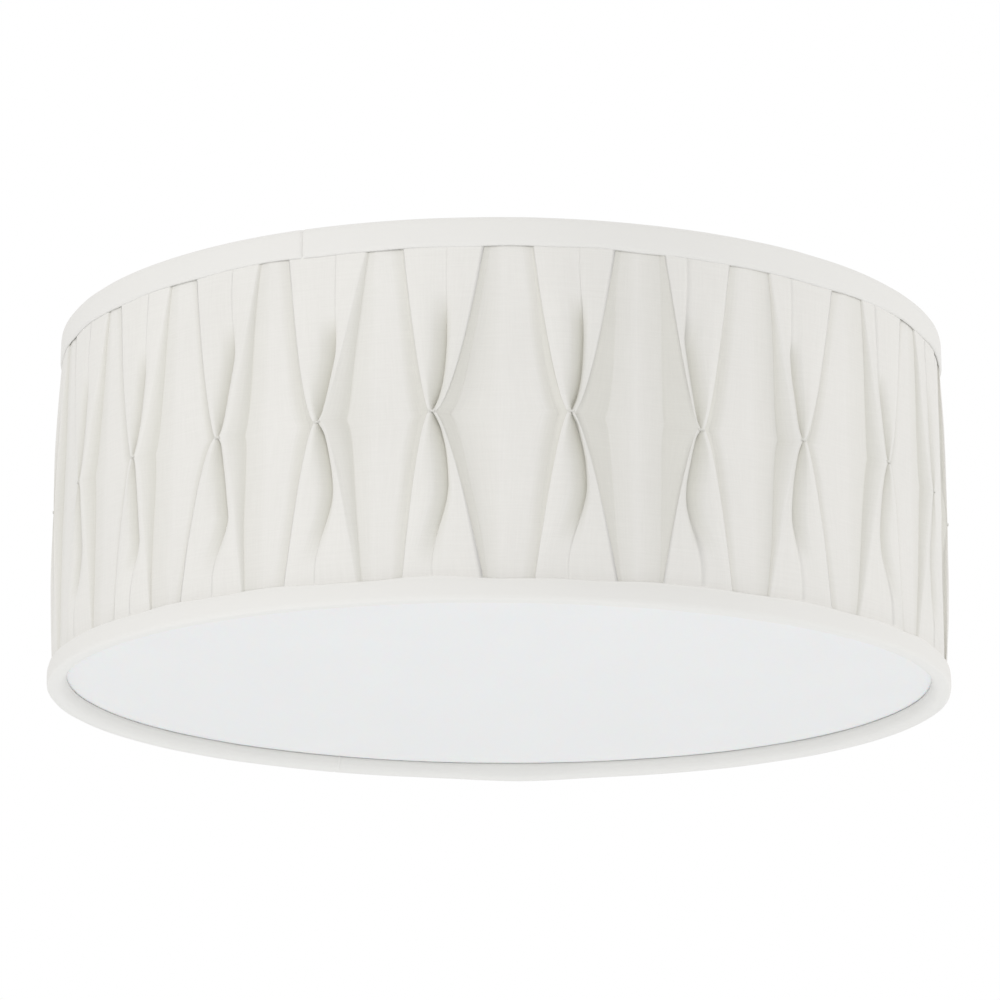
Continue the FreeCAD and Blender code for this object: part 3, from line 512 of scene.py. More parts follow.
rng = np.random.default_rng(2407)
hidden_count = PLEAT_COUNT - len(SEEN_PLEATS)
hidden_arc = 360 - (SEEN_PLEATS[-1][0] - SEEN_PLEATS[0][0])
pleat_rows = [list(row) for row in SEEN_PLEATS]
for number in range(1, hidden_count + 1):
    even_place = SEEN_PLEATS[-1][0] + hidden_arc * number / (hidden_count + 1)
    stitch = even_place + rng.normal(0, STITCH_STRAY)
    edges = [stitch + side * (PANEL_HALF + rng.normal(0, EDGE_STRAY)) for side in (-1, 1, -1, 1)]
    drop, crease_side = rng.normal(0, DROP_STRAY), rng.choice([-1, 1])
    pleat_rows.append(
        [stitch, *edges, drop, crease_side, rng.uniform(*HIDDEN_SHOWN), rng.uniform(*HIDDEN_ROLL)]
    )
pleat_table = np.array(pleat_rows)
pleats = np.radians(pleat_table[:, :5])
stitch_drops, crease_sides = pleat_table[:, 5] / 1000, pleat_table[:, 6]
shown_returns, rolls = pleat_table[:, 7] / 1000, pleat_table[:, 8]
print("pleats:", len(pleats), "mean pitch, mm:", round(FULL_TURN * CLOTH_RADIUS / PLEAT_COUNT * 1000, 1))

# %% Rows of the cover
ROWS = 92


def row_heights():
    """Heights of the rows from the lower edge up, closer together near the stitches."""
    spread = np.linspace(-1, 1, ROWS)
    eased = np.sign(spread) * (0.62 * np.abs(spread) + 0.38 * np.abs(spread) ** 1.9)
    above = PINCH_HEIGHT + eased * (COVER_TOP - PINCH_HEIGHT)
    below = PINCH_HEIGHT - eased * (COVER_BOTTOM - PINCH_HEIGHT)
    return np.where(eased > 0, above, below)


heights = row_heights()
upper = heights > PINCH_HEIGHT
seam_reach = np.where(upper, TOP_SEAM - PINCH_HEIGHT, PINCH_HEIGHT - BOTTOM_SEAM)
openness = np.clip(np.abs(heights - PINCH_HEIGHT) / seam_reach, 0, 1)
print("rows:", ROWS, "smallest step, mm:", round(float(np.min(np.diff(heights))) * 1000, 2))

# %% [markdown]
# Across a row, a pleat is a short list of folds, each with a place along the row, a height over the
# liner and a share of painted shade, which also stands for the cloth lying off the liner. The list
# runs from the middle of one recess to the middle of the next: the liner, the foot and the half-way
# fold of the hidden cloth, the panel's edge, the panel with its crease, and the same again on the
# other side. Some values are the same for all pleats.
# The others are drawn from a range, once for the rows above the stitch and once for those below.

# %% Values that all pleats share
STITCH_HALF = 0.0011
PINCH_LIFT, FOLD_LIFT, SEAM_LIFT = 0.0029, 0.0023, 0.0010
VALLEY, SEAM_VALLEY = -0.0007, 0.0003
SEAM_CROWN = 0.0006
LIP_RUN = 0.0005


def smooth_step(x):
    x = np.clip(x, 0, 1)
    return x * x * (3 - 2 * x)


# Closeness and parting are 1 at the stitch and fall to 0 at the seams, where openness is 1.
closeness = 1 - openness
parting = closeness**1.5
bulge = FOLD_LIFT - (PINCH_LIFT + SEAM_LIFT) / 2
edge_lift = PINCH_LIFT * closeness + SEAM_LIFT * openness + 4 * openness * closeness * bulge
valley = VALLEY * closeness + SEAM_VALLEY * openness
lip = smooth_step(openness / 0.3)
print("edge lift, mm, from", round(edge_lift.min() * 1000, 2), "to", round(edge_lift.max() * 1000, 2))


# %% Find a pleat's edges and feet
EDGE_POWER = (0.60, 0.80)
WAVE_SIZE, WAVE_TURNS = 0.0005, (3.0, 7.0)
NEAR_FOOT_PULL, NEAR_FOOT_STRAY = (0.0025, 0.0045), (-0.0010, 0.0010)
FAR_FOOT_STRAY = (0.0010, 0.0026)


def drawn(above, below=None):
    """A value from a range for the rows above the stitch, and one for those below."""
    return np.where(upper, rng.uniform(*above), rng.uniform(*(below or above)))


def fold_line(span):
    """A panel's edge, which curves out from the stitch to its place under the tape."""
    return STITCH_HALF + (span - STITCH_HALF) * openness ** drawn(EDGE_POWER)


def edges_and_feet(spans, shown_return):
    """The near and far edge of the panel, and where the hidden cloth beside each meets the liner."""
    near, far = (fold_line(span) for span in spans)
    wave = WAVE_SIZE * np.sin(openness * drawn(WAVE_TURNS) + rng.uniform(0, 6)) * openness
    near_pull = rng.uniform(*NEAR_FOOT_PULL)
    foot_near = near + near_pull * parting + drawn(NEAR_FOOT_STRAY) * (1 - parting) + wave
    foot_far = far + shown_return * parting + drawn(FAR_FOOT_STRAY) * (1 - parting) + wave
    return near, far, foot_near, foot_far


# %% Sink the panel's crease
PUFF, DEPTH = (0.0003, 0.0008), (0.0032, 0.0037)
CREASE_SHIFT, SLOPE_RUN = (0.0055, 0.0078), (0.0055, 0.0080)
CREASE_RETURN = ((0, 0.003), (0.004, 0.012))
FADES = (((0.34, 0.46), (0.40, 0.55)), ((0.58, 0.75), (0.75, 0.95)))


def panel_folds(near, far):
    """Five folds between the panel's edges: a soft slope, the crease's two walls, and the far side."""
    puff = drawn(PUFF) * np.sin(np.pi * openness) ** 0.8
    # The crease leaves the stitch quickly, and turns back towards the middle near the seam.
    crease = drawn(CREASE_SHIFT) * (1 - np.exp(-openness / 0.15))
    crease = crease - drawn(*CREASE_RETURN) * smooth_step((openness - 0.42) / 0.5)
    crease = np.clip(crease, -0.6 * near, far * 0.72)
    # It is deep from the stitch on, and fades out before the seam. The crease carries painted shade, most of
    # it at its tip.
    fade_start, fade_end = (drawn(*ranges) for ranges in FADES)
    fade = 1 - smooth_step((openness - fade_start) / (fade_end - fade_start))
    hollow = (1 - np.exp(-openness / 0.02)) * fade
    tip = (1 - np.exp(-openness / 0.012)) * np.exp(-openness / 0.13)
    depth = drawn(DEPTH) * hollow + 0.0005 * np.sin(np.pi * openness)
    low = np.maximum(edge_lift - depth, VALLEY)
    # The near part of the panel slopes down to the crease, and the far part hangs over it by a hair.
    slope_run = np.minimum(drawn(SLOPE_RUN) * (1 - np.exp(-openness / 0.12)), 0.75 * (near + crease))
    slope_top = np.minimum(-0.62 * near, -near + 0.6 * (near + crease - slope_run))
    tuck = np.minimum(0.0008 * smooth_step(openness / 0.15) * fade, 0.3 * (far - crease))
    # The third values paint shade into the crease, strongest at its tip.
    return (
        (slope_top, edge_lift + puff, 0),
        (crease - slope_run, edge_lift + 0.8 * puff, 0.8 * tip),
        (crease + tuck, low, hollow),
        (crease, edge_lift - 0.3 * depth, 0.4 * hollow),
        (crease + 0.25 * (far - crease), edge_lift + 0.5 * puff, 0.25 * tip),
    )


# %% Turn the hidden cloth under
# Shares of painted shade on the hidden cloth by the panel's near and far edges.
NEAR_SHADE, FAR_SHADE = 0.42, 0.36


def hidden_folds(edge, foot, roll, shade_under, shade_half):
    """Two folds of the hidden cloth beside a panel: under its lip, and half way to its foot."""
    flat = lip * (1 - roll)
    under = edge - LIP_RUN * flat * np.minimum(edge / 0.004, 1) + 0.0006 * roll
    middle = 0.5 * (under + foot)
    rise = edge_lift - valley
    return (
        (under, valley + rise * (0.97 - 0.45 * flat), shade_under),
        (middle, valley + rise * (0.55 - 0.25 * flat + 0.08 * roll), shade_half),
    )


# %% Put a pleat together
SOFT_RUN, CROWN = (0.0035, 0.0060), (0.0002, 0.0005)


def pleat_folds(pleat, left_recess, right_recess, crease_side, shown_return, roll):
    """Folds of every row, as (arc place, lift, stand off with painted shade), from one recess middle to the
    next.

    It is drawn with the crease right of the stitch, and turned over where the crease is left of it.
    The recess lies flat to the far panel's foot, and slopes softly down to the near one's.
    """
    stitch, top_left, top_right, low_left, low_right = pleat
    spans = [
        np.where(upper, stitch - top_left, stitch - low_left) * CLOTH_RADIUS,
        np.where(upper, top_right - stitch, low_right - stitch) * CLOTH_RADIUS,
    ]
    middles = [(stitch - left_recess) * CLOTH_RADIUS, (right_recess - stitch) * CLOTH_RADIUS]
    if crease_side < 0:
        spans.reverse()
        middles.reverse()
    near, far, foot_near, foot_far = edges_and_feet(spans, shown_return)
    soft_run = drawn(SOFT_RUN)
    panel = panel_folds(near, far)
    crown = rng.uniform(*CROWN) * closeness + SEAM_CROWN * openness
    under_near, half_near = hidden_folds(near, foot_near, 0, NEAR_SHADE, NEAR_SHADE)
    under_far, half_far = hidden_folds(far, foot_far, roll, FAR_SHADE * (1 - roll), FAR_SHADE - 0.2 * roll)
    # Each fold's third value darkens the cloth. It is painted shade at the feet, on the hidden cloth and in
    # the crease, and partly the look of linen lying off its liner.
    profile = (
        (-middles[0], crown, 0),
        (-(foot_near + soft_run), 0.8 * crown, 0),
        (-foot_near, valley, 0.34 * (1 - 0.4 * openness)),
        (-half_near[0], *half_near[1:]),
        (-under_near[0], *under_near[1:]),
        (-near, edge_lift, 0),
        *panel,
        (far, edge_lift, 0),
        under_far,
        half_far,
        (foot_far, valley, (FAR_SHADE + 0.24 * roll) * (1 - 0.3 * openness)),
        (foot_far + 0.0007, valley + 0.0001, 0.1),
        (middles[1], crown, 0),
    )
    places, lifts, shades = (np.stack([fold[i] + 0 * openness for fold in profile], 1) for i in range(3))
    if crease_side > 0:
        return places, lifts, shades
    return -places[:, ::-1], lifts[:, ::-1], shades[:, ::-1]


# %% Fill in a pleat's columns
# Shares of each stretch between two folds at which the cloth has a column, closer by a sharp fold.
TO_FOLD, FROM_FOLD = (0, 0.5, 0.85), (0, 0.15, 0.5)
EVEN, SLOPE = (0, 0.5), (0, 0.25, 0.55, 0.85)
STRETCHES = (
    (0, 0.3, 0.6, 0.85), TO_FOLD, FROM_FOLD, EVEN, EVEN, FROM_FOLD, EVEN, SLOPE, EVEN, FROM_FOLD, TO_FOLD,
    EVEN, EVEN, TO_FOLD, FROM_FOLD, (0, 0.15, 0.4, 0.7),
)
per_pleat = sum(len(stretch) for stretch in STRETCHES)


def fill_columns(values):
    """Adds columns between a pleat's folds. The last fold belongs to the next pleat."""
    filled = []
    for index, stretch in enumerate(STRETCHES):
        for share in stretch:
            filled.append(values[:, index] * (1 - share) + values[:, index + 1] * share)
    return np.stack(filled, 1)


print("columns to a pleat:", per_pleat)

# %% Set the pleats round the drum
stitches = pleats[:, 0]
after = np.append(stitches[1:], stitches[0] + FULL_TURN)
before = np.insert(stitches[:-1], 0, stitches[-1] - FULL_TURN)
blocks = []
pleat_facts = zip(pleats, before, after, crease_sides, shown_returns, rolls)
for pleat, previous, following, side, shown, roll in pleat_facts:
    middle_left, middle_right = (previous + pleat[0]) / 2, (pleat[0] + following) / 2
    folds = pleat_folds(pleat, middle_left, middle_right, side, shown, roll)
    arcs, rises, shades = (fill_columns(values) for values in folds)
    blocks.append((pleat[0] + arcs / CLOTH_RADIUS, rises, shades))
angles, lifts, stand_off_and_painted_shade = (np.concatenate([block[i] for block in blocks], 1) for i in range(3))
print("cover grid, rows by columns:", angles.shape)


# %% Let each stitch sit a little high or low, and the cloth breathe
column_drops = np.interp(
    np.arange(len(stitches) * per_pleat),
    (np.arange(-1, len(stitches) + 1) + 0.5) * per_pleat,
    np.concatenate([stitch_drops[-1:], stitch_drops, stitch_drops[:1]]),
)
sheet_heights = heights[:, None] - column_drops[None, :] * parting[:, None]


def cloth_noise(scale, seed):
    """Smooth unevenness read on the drum, so that it closes round the back."""
    radius = CLOTH_RADIUS * scale
    value = np.empty_like(angles)
    for row in range(angles.shape[0]):
        for column in range(angles.shape[1]):
            a = angles[row, column]
            spot = (math.cos(a) * radius + seed, math.sin(a) * radius, heights[row] * scale * 0.4)
            value[row, column] = noise.noise(spot)
    return value


free = np.clip(openness * 6, 0, 1) * np.clip(closeness * 8, 0, 1)
for depth, scale, seed in ((0.00035, 48.0, 3.0), (0.00014, 140.0, 9.0)):
    lifts = lifts + depth * cloth_noise(scale, seed) * free[:, None]
lifts = np.maximum(lifts, VALLEY)
print("highest fold, mm:", round(float(lifts.max()) * 1000, 2))

# %% Weave the cover's mesh
radii = CLOTH_RADIUS + lifts
points = np.stack([radii * np.sin(angles), -radii * np.cos(angles), sheet_heights], -1)
rows, columns = angles.shape
steps = np.linalg.norm(np.roll(points, -1, axis=1) - points, axis=-1)
cut_places = np.concatenate([[0.0], np.cumsum(steps.mean(axis=0))])

quads = []
for row in range(rows - 1):
    here, above = row * columns, (row + 1) * columns
    for column in range(columns):
        beside = (column + 1) % columns
        quads.append((here + column, here + beside, above + beside, above + column))
cover_mesh = bpy.data.meshes.new("linen_cover")
cover_mesh.from_pydata([tuple(p) for p in points.reshape(-1, 3)], [], quads)
cover = bpy.data.objects.new("linen_cover", cover_mesh)
bpy.context.scene.collection.objects.link(cover)

# %% Mark the cover with its cut cloth and its stand off with painted fold shade
uv = cover_mesh.uv_layers.new(name="cut_cloth")
uv_values = np.empty((len(quads), 4, 2))
grid = np.arange(len(quads))
row_of, column_of = grid // columns, grid % columns
for corner, (up_one, over) in enumerate(((0, 0), (0, 1), (1, 1), (1, 0))):
    uv_values[:, corner, 0] = cut_places[column_of + over]
    uv_values[:, corner, 1] = heights[row_of + up_one]
uv.data.foreach_set("uv", uv_values.ravel())
# Per point, how much the cloth's colour is darkened. This is painted shade in creases, feet and hidden
# cloth, and partly the real look of linen lying off its liner.
stand_off_and_shade_attribute = cover_mesh.attributes.new("stand_off_and_painted_shade", "FLOAT", "POINT")
stand_off_and_shade_attribute.data.foreach_set("value", (stand_off_and_painted_shade**0.6).ravel().astype(np.float32))
cover_mesh.shade_smooth()
cover_mesh.materials.append(linen)
print("cloth laid out, m:", round(float(cut_places[-1]), 3), "by", round(float(heights[-1] - heights[0]), 3))

# %% [markdown]
# The tape is a narrow strip cut across the weave, so that it can bend round a ring. It is folded
# over the ring wire and the cover's edge and stuck down. Its section is drawn once as a line, spun
# round the shade's axis, and given the thickness of the tape. Hands pull it unevenly, so its edges
# wander by a fraction of a millimetre, and its ends meet in a small dent.

# %% Helpers for turned shapes
def trace_line(name, line):
    """Extrudes a single point through (radius, height) stations and leaves the line as an object."""
    bpy.ops.object.select_all(action="DESELECT")
    bpy.ops.mesh.primitive_plane_add(size=0.001, location=(0, 0, 0))
    piece = bpy.context.active_object
    piece.name = piece.data.name = name
    bpy.ops.object.mode_set(mode="EDIT")
    bpy.ops.mesh.select_all(action="SELECT")
    bpy.ops.mesh.merge(type="CENTER")
    bpy.ops.transform.translate(value=(line[0][0], 0, line[0][1]))
    for (r1, z1), (r2, z2) in zip(line, line[1:]):
        bpy.ops.mesh.extrude_vertices_move(TRANSFORM_OT_translate={"value": (r2 - r1, 0, z2 - z1)})
    bpy.ops.object.mode_set(mode="OBJECT")
    return piece


def spin_line(name, line, steps):
    """Turns a traced line once round the upright axis and joins its ends."""
    piece = trace_line(name, line)
    bpy.ops.object.mode_set(mode="EDIT")
    bpy.ops.mesh.select_all(action="SELECT")
    bpy.ops.mesh.spin(steps=steps, angle=FULL_TURN, center=(0, 0, 0), axis=(0, 0, 1))
    bpy.ops.mesh.select_all(action="SELECT")
    bpy.ops.mesh.remove_doubles(threshold=0.00002)
    bpy.ops.mesh.normals_make_consistent(inside=False)
    bpy.ops.object.mode_set(mode="OBJECT")
    return piece


def apply_modifier(piece, kind, **values):
    """Adds a modifier with its settings and applies it at once."""
    bpy.ops.object.select_all(action="DESELECT")
    piece.select_set(True)
    bpy.context.view_layer.objects.active = piece
    modifier = piece.modifiers.new(kind.lower(), kind)
    for label, value in values.items():
        setattr(modifier, label, value)
    bpy.ops.object.modifier_apply(modifier=modifier.name)


def dress(piece, material):
    """Gives a piece its one material and smooth shading."""
    piece.data.materials.clear()
    piece.data.materials.append(material)
    piece.data.shade_smooth()


def copy_piece(pattern, name, move):
    """A copy with a mesh of its own, into which the move is written."""
    copy = pattern.copy()
    copy.data = pattern.data.copy()
    copy.name = copy.data.name = name
    copy.data.transform(move)
    bpy.context.scene.collection.objects.link(copy)
    return copy


# %% Draw the tapes' sections
TAPE_THICKNESS = 0.0006
TAPE_STEPS = 360
TOP_LINE = (
    (0.20080, -0.01660), (0.20125, -0.0161), (0.20152, -0.0150), (0.20160, -0.0120), (0.20165, -0.0090),
    (0.20165, -0.0066), (0.20145, -0.0053), (0.20085, -0.0045), (0.1995, -0.0043), (0.1972, -0.0043),
    (0.1957, -0.0046), (0.1949, -0.0056), (0.1947, -0.0075), (0.1947, -0.0105), (0.1949, -0.0138),
)
BOTTOM_LINE = (
    (0.20080, -0.15590), (0.20150, -0.1563), (0.20225, -0.1572), (0.20258, -0.1588), (0.20265, -0.1610),
    (0.20262, -0.1634), (0.20245, -0.1647), (0.20180, -0.1655), (0.20040, -0.1657), (0.19860, -0.16565),
    (0.19700, -0.1651), (0.19580, -0.1640), (0.19500, -0.1624), (0.19460, -0.1606), (0.19455, -0.1596),
    (0.19500, -0.15922), (0.1968, -0.15912),
)
top_tape = spin_line("top_tape", TOP_LINE, TAPE_STEPS)
bottom_tape = spin_line("bottom_tape", BOTTOM_LINE, TAPE_STEPS)
print("tapes:", top_tape.name, bottom_tape.name, "stations:", len(TOP_LINE), len(BOTTOM_LINE))

# %% Ways in which a tape is uneven
EDGE_REACH, EDGE_SWING = 0.0022, 0.0009
SAG_AT, SAG_HALF, SAG_DEPTH, SAG_BELOW = 177.0, 7.0, 0.0011, -0.1625


def wander(piece, size, seed, edge_height):
    """Moves points a little in and out, and lets the outer stuck edge run up and down by more."""
    for vertex in piece.data.vertices:
        spot = vertex.co
        out = Vector((spot.x, spot.y, 0)).normalized()
        swing = noise.noise(Vector((spot.x * 34 + seed, spot.y * 34, spot.z * 60)))
        ripple = noise.noise(Vector((spot.x * 95, spot.y * 95 + seed, spot.z * 90)))
        nod = noise.noise(Vector((spot.x * 40, spot.y * 40 + seed, 0.5)))
        by_edge = math.exp(-((spot.z - edge_height) / EDGE_REACH) ** 2) * (spot.xy.length > CLOTH_RADIUS)
        rise = nod * (0.3 * size + by_edge * EDGE_SWING)
        vertex.co = spot + out * (swing * size + ripple * 0.4 * size) + Vector((0, 0, rise))


def sag(piece):
    """Lets the tape's lowest part hang a little where its wire was bent."""
    for vertex in piece.data.vertices:
        spot = vertex.co
        apart = abs(math.degrees(math.atan2(spot.x, -spot.y)) - SAG_AT)
        away = min(apart, 360 - apart) / SAG_HALF
        if spot.z < SAG_BELOW:
            vertex.co.z -= SAG_DEPTH * math.exp(-(away**2))


def dent(piece, degrees, width, depth):
    """Presses a narrow furrow across the tape where its ends meet."""
    for vertex in piece.data.vertices:
        spot = vertex.co
        arc = (math.degrees(math.atan2(spot.x, -spot.y)) - degrees) * math.radians(1) * CLOTH_RADIUS
        if abs(arc) < 3 * width:
            out = Vector((spot.x, spot.y, 0)).normalized()
            vertex.co = spot - out * (depth * math.exp(-((arc / width) ** 2)))


# %% Cut, wrap and press the tapes
SEAM_GAPS = (-0.003, -0.0018, -0.0011, -0.0005, 0.0, 0.0005, 0.0011, 0.0018, 0.003)
CUT_REACH = 0.03
WIRE_RADIUS, WRAP_RADIUS = 0.198, 0.006
WANDER = 0.00032
SEAM_WIDTH, SEAM_DEPTH = 0.0006, 0.0009


def cut_rings(piece, degrees, gaps):
    """Cuts extra lines across a ring near an angle, so that a narrow dent has points to move."""
    bpy.ops.object.select_all(action="DESELECT")
    piece.select_set(True)
    bpy.context.view_layer.objects.active = piece
    bpy.ops.object.mode_set(mode="EDIT")
    for gap in gaps:
        angle = math.radians(degrees) + gap / CLOTH_RADIUS
        spot = (math.sin(angle) * CLOTH_RADIUS, -math.cos(angle) * CLOTH_RADIUS, 0)
        bpy.ops.mesh.select_all(action="DESELECT")
        bpy.ops.object.mode_set(mode="OBJECT")
        for face in piece.data.polygons:
            face.select = (face.center.xy - Vector(spot).xy).length < CUT_REACH
        bpy.ops.object.mode_set(mode="EDIT")
        bpy.ops.mesh.bisect(plane_co=spot, plane_no=(math.cos(angle), math.sin(angle), 0))
    bpy.ops.object.mode_set(mode="OBJECT")


def wrap_cloth(piece, wire_height):
    """Lays the weave along the ring and round its wire."""
    layer = piece.data.uv_layers.new(name="tape_cloth")
    round_ring = FULL_TURN * CLOTH_RADIUS
    for face in piece.data.polygons:
        first = None
        for loop in face.loop_indices:
            spot = piece.data.vertices[piece.data.loops[loop].vertex_index].co
            along = math.atan2(spot.x, -spot.y) * CLOTH_RADIUS
            if first is None:
                first = along
            along += round_ring * round((first - along) / round_ring)
            around = math.atan2(spot.z - wire_height, spot.xy.length - WIRE_RADIUS) * WRAP_RADIUS
            layer.data[loop].uv = (along, around)


for tape, wire_height, edge_height, seed, seam in (
    (top_tape, -0.0075, TOP_SEAM, 1.0, -24.2),
    (bottom_tape, -0.1610, BOTTOM_SEAM, 7.0, -156.0),
):
    cut_rings(tape, seam, SEAM_GAPS)
    wander(tape, WANDER, seed, edge_height)
    if tape is bottom_tape:
        sag(tape)
    dent(tape, seam, SEAM_WIDTH, SEAM_DEPTH)
    apply_modifier(tape, "SOLIDIFY", thickness=TAPE_THICKNESS, offset=0)
    wrap_cloth(tape, wire_height)
    dress(tape, bias_tape)
    print(tape.name, "faces:", len(tape.data.polygons))

# %% [markdown]
# Each stitch is a few turns of thread pulled tight over the two folds of a pleat. One turn is a
# thin squashed ring; three of them, not quite level, make a stitch. The stitch is made once and
# set round the drum where the cover has its pinches.

# %% Tie the stitches
STITCH_PLACE = CLOTH_RADIUS + PINCH_LIFT - 0.0001
LOOP_RADIUS, THREAD_RADIUS, LOOP_SQUASH = 0.00155, 0.00016, 0.4
LOOPS = ((-0.00027, 0.05), (0.0, -0.06), (0.00027, 0.08))


def make_stitch():
    """Three loops of thread, each a little higher than the last and tilted its own way."""
    bpy.ops.object.select_all(action="DESELECT")
    for loop_number, (lift, tilt) in enumerate(LOOPS):
        bpy.ops.mesh.primitive_torus_add(
            major_radius=LOOP_RADIUS, minor_radius=THREAD_RADIUS, major_segments=14, minor_segments=6,
            location=(0, -STITCH_PLACE, PINCH_HEIGHT + lift), rotation=(0, tilt, 0),
        )
        loop_of_thread = bpy.context.active_object
        loop_of_thread.scale = (1.0, LOOP_SQUASH, 1.0)
        loop_of_thread.name = f"thread_turn_{loop_number}"
    for piece in bpy.data.objects:
        piece.select_set(piece.name.startswith("thread_turn_"))
    bpy.ops.object.join()
    bpy.ops.object.transform_apply(location=True, rotation=True, scale=True)
    return bpy.context.active_object


stitch_pattern = make_stitch()
stitch_copies = []
for number, (stitch_angle, drop) in enumerate(zip(stitches, stitch_drops)):
    move = Matrix.Translation((0, 0, -float(drop))) @ Matrix.Rotation(float(stitch_angle), 4, "Z")
    stitch_copies.append(copy_piece(stitch_pattern, f"stitch_copy_{number}", move))
bpy.data.objects.remove(stitch_pattern)
bpy.ops.object.select_all(action="DESELECT")
for copy in stitch_copies:
    copy.select_set(True)
bpy.context.view_layer.objects.active = stitch_copies[0]
bpy.ops.object.join()
stitching = bpy.context.active_object
stitching.name = stitching.data.name = "pinch_stitches"
dress(stitching, thread)
print("stitches:", len(stitches), "faces:", len(stitching.data.polygons))

# %% [markdown]
# The pad of glass wool over the lamps is a flat ring with soft crowned faces and pressed edges. Its
# section is spun, two holes are cut where the strap's screws pass, and its faces are made uneven.

# %% Lay the heat pad
PAD_LINE = (
    (0.0552, -0.0216), (0.0560, -0.0231), (0.0585, -0.0237), (0.0680, -0.0239), (0.0830, -0.0239),
    (0.0980, -0.0239), (0.1075, -0.0237), (0.1100, -0.0231), (0.1108, -0.0216), (0.1100, -0.0199),
    (0.1075, -0.0193), (0.0830, -0.0191), (0.0585, -0.0193), (0.0560, -0.0199), (0.0552, -0.0216),
)
PAD_MIDDLE = -0.0215
PAD_HOLE_PLACE, PAD_HOLE_RADIUS, CUTTER_LENGTH = 0.066, 0.0059, 0.02
TUFT_HEIGHT, TUFT_SINK = 0.0003, 0.0002
pad = spin_line("glass_wool_pad", PAD_LINE, 160)
apply_modifier(pad, "SUBSURF", levels=1, render_levels=1)
for vertex in pad.data.vertices:
    tuft = noise.noise(vertex.co * 160) + 0.5 * noise.noise(vertex.co * 420)
    vertex.co += vertex.normal * (TUFT_HEIGHT * tuft - TUFT_SINK)
for side in (-1, 1):
    bpy.ops.mesh.primitive_cylinder_add(
        radius=PAD_HOLE_RADIUS, depth=CUTTER_LENGTH, vertices=32,
        location=(side * PAD_HOLE_PLACE, 0, PAD_MIDDLE),
    )
    cutter = bpy.context.active_object
    apply_modifier(pad, "BOOLEAN", operation="DIFFERENCE", object=cutter, solver="EXACT")
    bpy.data.objects.remove(cutter)
dress(pad, glass_wool)
print("pad faces:", len(pad.data.polygons))

# %% [markdown]
# The thumb screws are turned, so a section is spun for them too. Its shank carries fine grooves
# for the thread, and every other row of points on the head's rim is pressed in for the grip.

# %% Turn the thumb screws
SCREW_CIRCLE = 0.124
SCREW_ANGLES = (150, 270, 30)
HEAD_UNDER, HEAD_TOP, SHANK_TIP = -0.0353, -0.0268, -0.0138
GRIP_RADIUS, GRIP_FROM, GRIP_PRESS, GRIP_STEPS = 0.00785, 0.0077, 0.965, 72
GROOVE_RADIUS, CREST_RADIUS, GROOVE_PITCH = 0.00165, 0.00195, 0.0007
SCREW_LINE = [
    (0.0, HEAD_UNDER + 0.0004), (0.0045, HEAD_UNDER + 0.0003), (0.0062, HEAD_UNDER),
    (0.0070, HEAD_UNDER + 0.0003), (0.0076, HEAD_UNDER + 0.0009), (GRIP_RADIUS, HEAD_UNDER + 0.0016),
    (GRIP_RADIUS, HEAD_UNDER + 0.0052), (0.0076, HEAD_UNDER + 0.0059), (0.0068, HEAD_UNDER + 0.0066),
    (0.0054, HEAD_TOP - 0.0010), (0.0050, HEAD_TOP - 0.0003), (0.0048, HEAD_TOP - 0.00002),
    (GROOVE_RADIUS, HEAD_TOP - 0.00002),
]
groove = HEAD_TOP + 0.0003
while groove + GROOVE_PITCH < SHANK_TIP:
    SCREW_LINE += [(GROOVE_RADIUS, groove), (CREST_RADIUS, groove + GROOVE_PITCH / 2)]
    groove += GROOVE_PITCH
SCREW_LINE += [(0.0014, SHANK_TIP - 0.0002), (0.0, SHANK_TIP)]

screw_pattern = spin_line("thumb_pattern", SCREW_LINE, GRIP_STEPS)
for vertex in screw_pattern.data.vertices:
    spot = vertex.co
    row = round(math.atan2(spot.y, spot.x) / (FULL_TURN / GRIP_STEPS))
    if spot.xy.length > GRIP_FROM and row % 2:
        spot.xy *= GRIP_PRESS
dress(screw_pattern, thumb_plate)
thumb_screws = []
for number, degrees in enumerate(SCREW_ANGLES, 1):
    angle = math.radians(degrees)
    place = (SCREW_CIRCLE * math.cos(angle), SCREW_CIRCLE * math.sin(angle), 0)
    screw = copy_piece(screw_pattern, f"knurled_screw_{number}", Matrix.Translation(place))
    apply_modifier(
        screw, "BEVEL", width=0.00012, segments=2, limit_method="ANGLE", angle_limit=math.radians(35)
    )
    thumb_screws.append(screw)
bpy.data.objects.remove(screw_pattern)
print("thumb screws:", len(thumb_screws), "faces each:", len(thumb_screws[0].data.polygons))

# %% [markdown]
# A bulb is blown in a mould, so its neck swells into the round end without an edge. The line below
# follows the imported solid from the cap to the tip, with more points where it turns fastest.

# %% Blow the bulbs
LAMP_HEIGHT = -0.060
LAMP_ANGLES = (90, 210, 330)
GLASS_THICKNESS = 0.0008
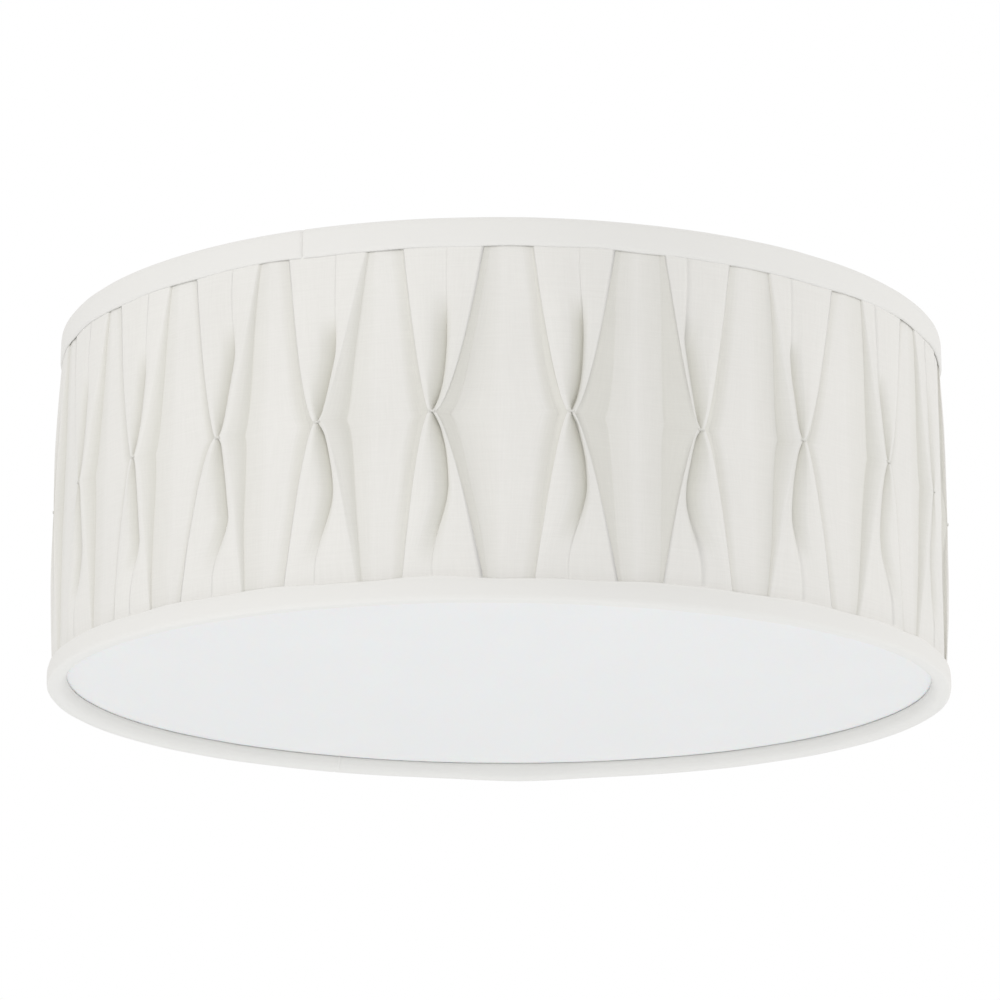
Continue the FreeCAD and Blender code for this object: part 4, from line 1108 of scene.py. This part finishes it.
# Radius, and distance from the light's middle, from the cap to the tip.
BULB_LINE = (
    (0.0130, 0.0602), (0.0135, 0.0606), (0.0136, 0.0640), (0.0137, 0.0680), (0.0142, 0.0710),
    (0.0152, 0.0745), (0.0168, 0.0785), (0.0189, 0.0830), (0.0212, 0.0880), (0.0236, 0.0930),
    (0.0258, 0.0980), (0.0277, 0.1030), (0.0290, 0.1080), (0.0297, 0.1125), (0.0299, 0.1165),
    (0.0295, 0.1210), (0.0284, 0.1250), (0.0266, 0.1290), (0.0241, 0.1328), (0.0208, 0.1363),
    (0.0170, 0.1394), (0.0127, 0.1417), (0.0082, 0.1433), (0.0040, 0.1440), (0.0, 0.1442),
)
bulb_pattern = spin_line("bulb_pattern", BULB_LINE, 64)
apply_modifier(bulb_pattern, "SOLIDIFY", thickness=GLASS_THICKNESS, offset=-1)
dress(bulb_pattern, frosted_glass)
laid_down = Matrix.Rotation(math.pi / 2, 4, "Y")
bulbs = []
for number, degrees in enumerate(LAMP_ANGLES, 1):
    outward = Matrix.Rotation(math.radians(degrees), 4, "Z") @ laid_down
    move = Matrix.Translation((0, 0, LAMP_HEIGHT)) @ outward
    bulbs.append(copy_piece(bulb_pattern, f"blown_bulb_{number}", move))
bpy.data.objects.remove(bulb_pattern)
print("bulbs:", len(bulbs), "faces each:", len(bulbs[0].data.polygons))

# %% [markdown]
# Every new piece rides on the body that carries it, and takes the place of the imported solid that it
# dresses. The cover, its tapes and its stitches go with the shade.

riders = [
    (cover, "shade", "pleated_cover", "linen"),
    (top_tape, "shade", "top_trim", "bias_tape"),
    (bottom_tape, "shade", "bottom_trim", "bias_tape"),
    (stitching, "shade", "pleat_tacks", "thread"),
]
for number, bulb in enumerate(bulbs, 1):
    riders.append((bulb, f"bulb_{number}", f"bulb_glass_{number}", "frosted_glass"))
for number, screw in enumerate(thumb_screws, 1):
    riders.append((screw, f"thumb_screw_{number}", f"thumb_screw_{number}", "thumb_plate"))
riders.append((pad, "fixture", "heat_pad", "glass_wool"))
for piece, body, node, slot_name in riders:
    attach(piece, body)
    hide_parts(node)
